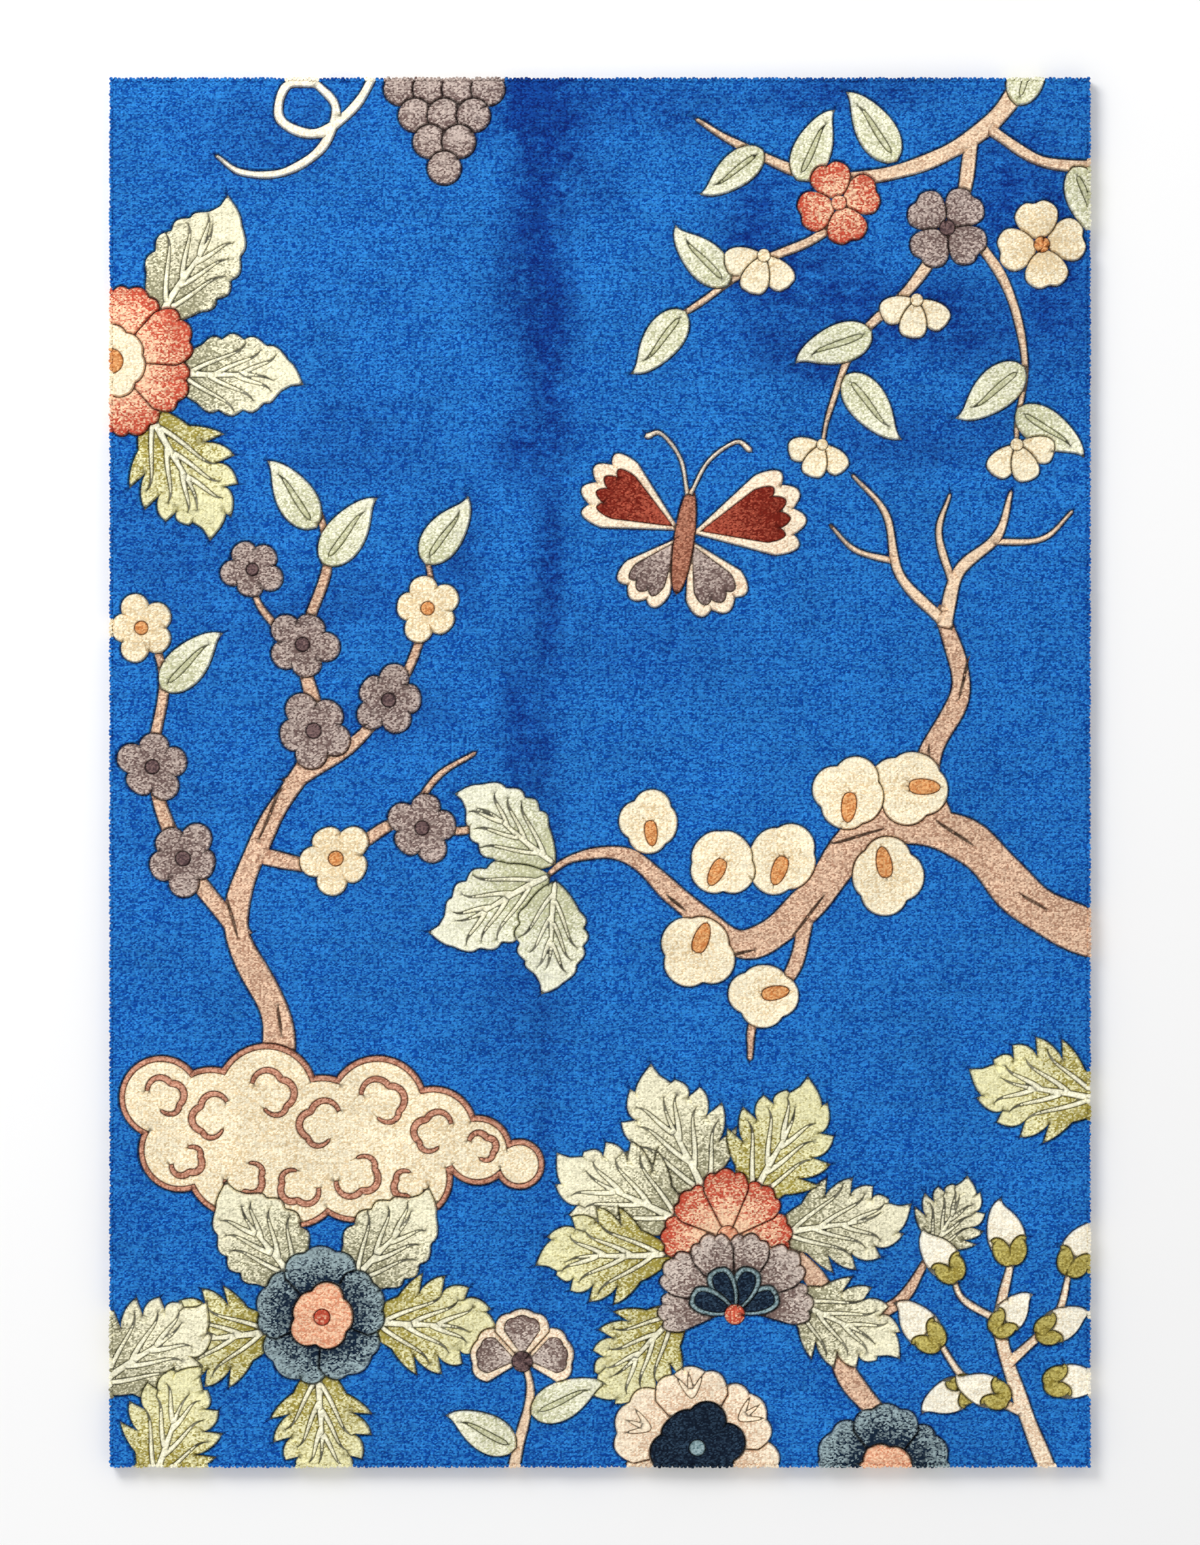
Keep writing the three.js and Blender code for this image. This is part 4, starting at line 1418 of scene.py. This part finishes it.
def make_foundation():
    """The knotted cotton under the pile, with the design showing flat on its underside."""
    half = (WIDTH / 2 - BACKING_INSET, LENGTH / 2 - BACKING_INSET)
    clear = np.array(half) - BACK_BORDER
    inside = np.all(np.abs((EDGES.starts + EDGES.ends) / 2) < clear, axis=1)
    under = tiled(*half, (EDGES.starts[inside], EDGES.ends[inside]), lattice(*half, WIDE_PITCH))
    over = tiled(*half, NO_LINES, lattice(*half, WIDE_PITCH))
    foundation = Slab(
        name="foundation",
        half=half,
        top=over,
        top_height=BACKING,
        bottom=under,
        bottom_height=0,
        values={},
        materials=[COTTON, BACK],
        slots=(0, 0, 1),
    )
    return make_slab(foundation)


# ------------------------------------------------------------------ the tufts along the edge

TUFT_RADIUS = 1.5
TUFT_INSET = 1.5             # from the rug's edge to the middles of the tufts
TUFT_BESIDE = 1.2            # a tuft takes its yarn and height from the pile this far in from it
TUFT_CREST = 0.6             # how far a tuft stands over the pile beside it
TUFT_SHADE = 0.5             # how much of the groove's shade a tuft takes
TUFT_INPUTS = (
    ("Geometry", "Geometry"),
    ("Radius", "Float"),
    ("Lean", "Float"),
    ("Seed", "Int"),
    ("Material", "Material"),
)


class TuftTree(Nodes):
    """A geometry tree that sets one leaning tuft on each point."""

    def __init__(self):
        super().__init__(bpy.data.node_groups.new("edge tufts", "GeometryNodeTree"))
        new_socket = self.tree.interface.new_socket
        new_socket("Geometry", in_out="OUTPUT", socket_type="NodeSocketGeometry")
        self.identifiers = {
            label: new_socket(label, in_out="INPUT", socket_type="NodeSocket" + kind).identifier
            for label, kind in TUFT_INPUTS
        }
        self.given = self.tree.nodes.new("NodeGroupInput").outputs

    def random(self, low, high, seed_shift):
        """A random vector for each point."""
        seed = self.add("ShaderNodeMath", {"operation": "ADD"}, {0: self.given["Seed"], 1: seed_shift})
        limits = {"Min": low, "Max": high, "Seed": seed}
        return self.add("FunctionNodeRandomValue", {"data_type": "FLOAT_VECTOR"}, limits)

    def vector(self, operation, one, other):
        """Two vectors joined into one."""
        return self.add("ShaderNodeVectorMath", {"operation": operation}, {0: one, 1: other})

    def stored(self, name):
        """A vector kept with the points."""
        return self.add("GeometryNodeInputNamedAttribute", {"data_type": "FLOAT_VECTOR"}, {"Name": name})


def tuft_tree():
    """Each tuft takes its size and direction from its point."""
    tree = TuftTree()
    given = tree.given
    sides = {"Vertices": 6, "Side Segments": 2, "Depth": 1.0}
    radii = {"Radius Top": given["Radius"], "Radius Bottom": 0.8 * TUFT_RADIUS * MM}
    tuft = tree.add("GeometryNodeMeshCone", {"fill_type": "NGON"}, {**sides, **radii})
    spread = tree.add("ShaderNodeCombineXYZ", {}, {"X": given["Lean"], "Y": given["Lean"], "Z": 1.0})
    outward = tree.vector("MULTIPLY", tree.stored("outward"), spread)
    direction = tree.vector("ADD", outward, tree.random((-0.05, -0.05, 0.0), (0.05, 0.05, 0.0), 1))
    upright = tree.add("FunctionNodeAlignRotationToVector", {"axis": "Z"}, {"Vector": direction})
    play = tree.random((0.95, 0.95, 0.94), (1.05, 1.05, 1.0), 2)
    size = tree.vector("MULTIPLY", tree.stored("tuft_size"), play)
    placing = {"Points": given["Geometry"], "Instance": tuft, "Rotation": upright, "Scale": size}
    placed = tree.add("GeometryNodeInstanceOnPoints", {}, placing)
    real = tree.add("GeometryNodeRealizeInstances", {}, {"Geometry": placed})
    coated = tree.add("GeometryNodeSetMaterial", {}, {"Geometry": real, "Material": given["Material"]})
    end = tree.tree.nodes.new("NodeGroupOutput")
    tree.set(end, {"Geometry": coated})
    return tree


def tuft_points():
    """A mesh of the points that the edge's tufts stand on, with what each tuft takes from its place."""
    half = np.array([WIDTH / 2 - TUFT_INSET, LENGTH / 2 - TUFT_INSET])
    places = rim_loop(*half, KNOT_ACROSS)
    inside = places * (half - TUFT_BESIDE) / half
    height, shorn = pile_surface(inside)
    on_side = np.abs(np.abs(places) - half) < 1e-6
    outward = raised(np.where(on_side, np.sign(places), 0), 1.0)
    length = (height + TUFT_CREST - BACKING) * MM
    mesh = bpy.data.meshes.new("edge tufts")
    mesh.from_pydata((raised(places, BACKING) * MM).tolist(), [], [])
    store_yarns(mesh, "POINT", inside, topmost(inside))
    # Each tuft takes the painted shade of the pressed nap beside it, and part of the grooves' painted shade.
    store(mesh, "POINT", "FLOAT", {"shorn": TUFT_SHADE * shorn, "nap": pressed(inside)})
    size = raised(np.ones((len(places), 2)), length)
    store(mesh, "POINT", "FLOAT_VECTOR", {"outward": outward, "tuft_size": size})
    return mesh


def make_tufts():
    """The tufts along the four cut edges, as one plain mesh."""
    carrier = new_object("edge tuft points", tuft_points())
    tree = tuft_tree()
    grown = carrier.modifiers.new("tufts", "NODES")
    grown.node_group = tree.tree
    for label, value in (("Radius", TUFT_RADIUS * MM), ("Lean", 0.03), ("Seed", 5), ("Material", PILE)):
        grown[tree.identifiers[label]] = value
    graph = bpy.context.evaluated_depsgraph_get()
    mesh = bpy.data.meshes.new_from_object(carrier.evaluated_get(graph))
    bpy.data.objects.remove(carrier)
    return new_object("edge_tufts", mesh)


pile, foundation, tufts = make_pile(), make_foundation(), make_tufts()

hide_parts("rug")
for piece in (pile, foundation, tufts):
    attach(piece, "root")

# ------------------------------------------------------------------ floor and light


def make_floor():
    """A plain pale floor, a little below the rug."""
    half, drop = 6.0, 0.0004
    corners = [(x * half, y * half, -drop) for x, y in ((-1, -1), (1, -1), (1, 1), (-1, 1))]
    mesh = bpy.data.meshes.new("floor")
    mesh.from_pydata(corners, [], [(0, 1, 2, 3)])
    pale = Paint("pale floor", {"Base Color": (0.9, 0.9, 0.9, 1.0), "Roughness": 0.9})
    mesh.materials.append(pale.material)
    floor = new_object("floor", mesh)


def make_light():
    """An even white room with one soft lamp above the upper left corner."""
    world = bpy.data.worlds.new("room")
    world.use_nodes = True
    sky = world.node_tree.nodes["Background"].inputs
    sky["Color"].default_value = (1.0, 1.0, 1.0, 1.0)
    sky["Strength"].default_value = 0.75
    bpy.context.scene.world = world
    data = bpy.data.lights.new("soft lamp", "AREA")
    data.shape = "DISK"
    data.size = 1.6
    data.energy = 60.0
    lamp = new_object("soft lamp", data)
    lamp.location = (-1.5, 1.9, 2.2)
    lamp.rotation_euler = (-Vector(lamp.location)).to_track_quat("-Z", "Y").to_euler()
    bpy.context.scene.view_settings.view_transform = "Standard"


make_floor()
make_light()
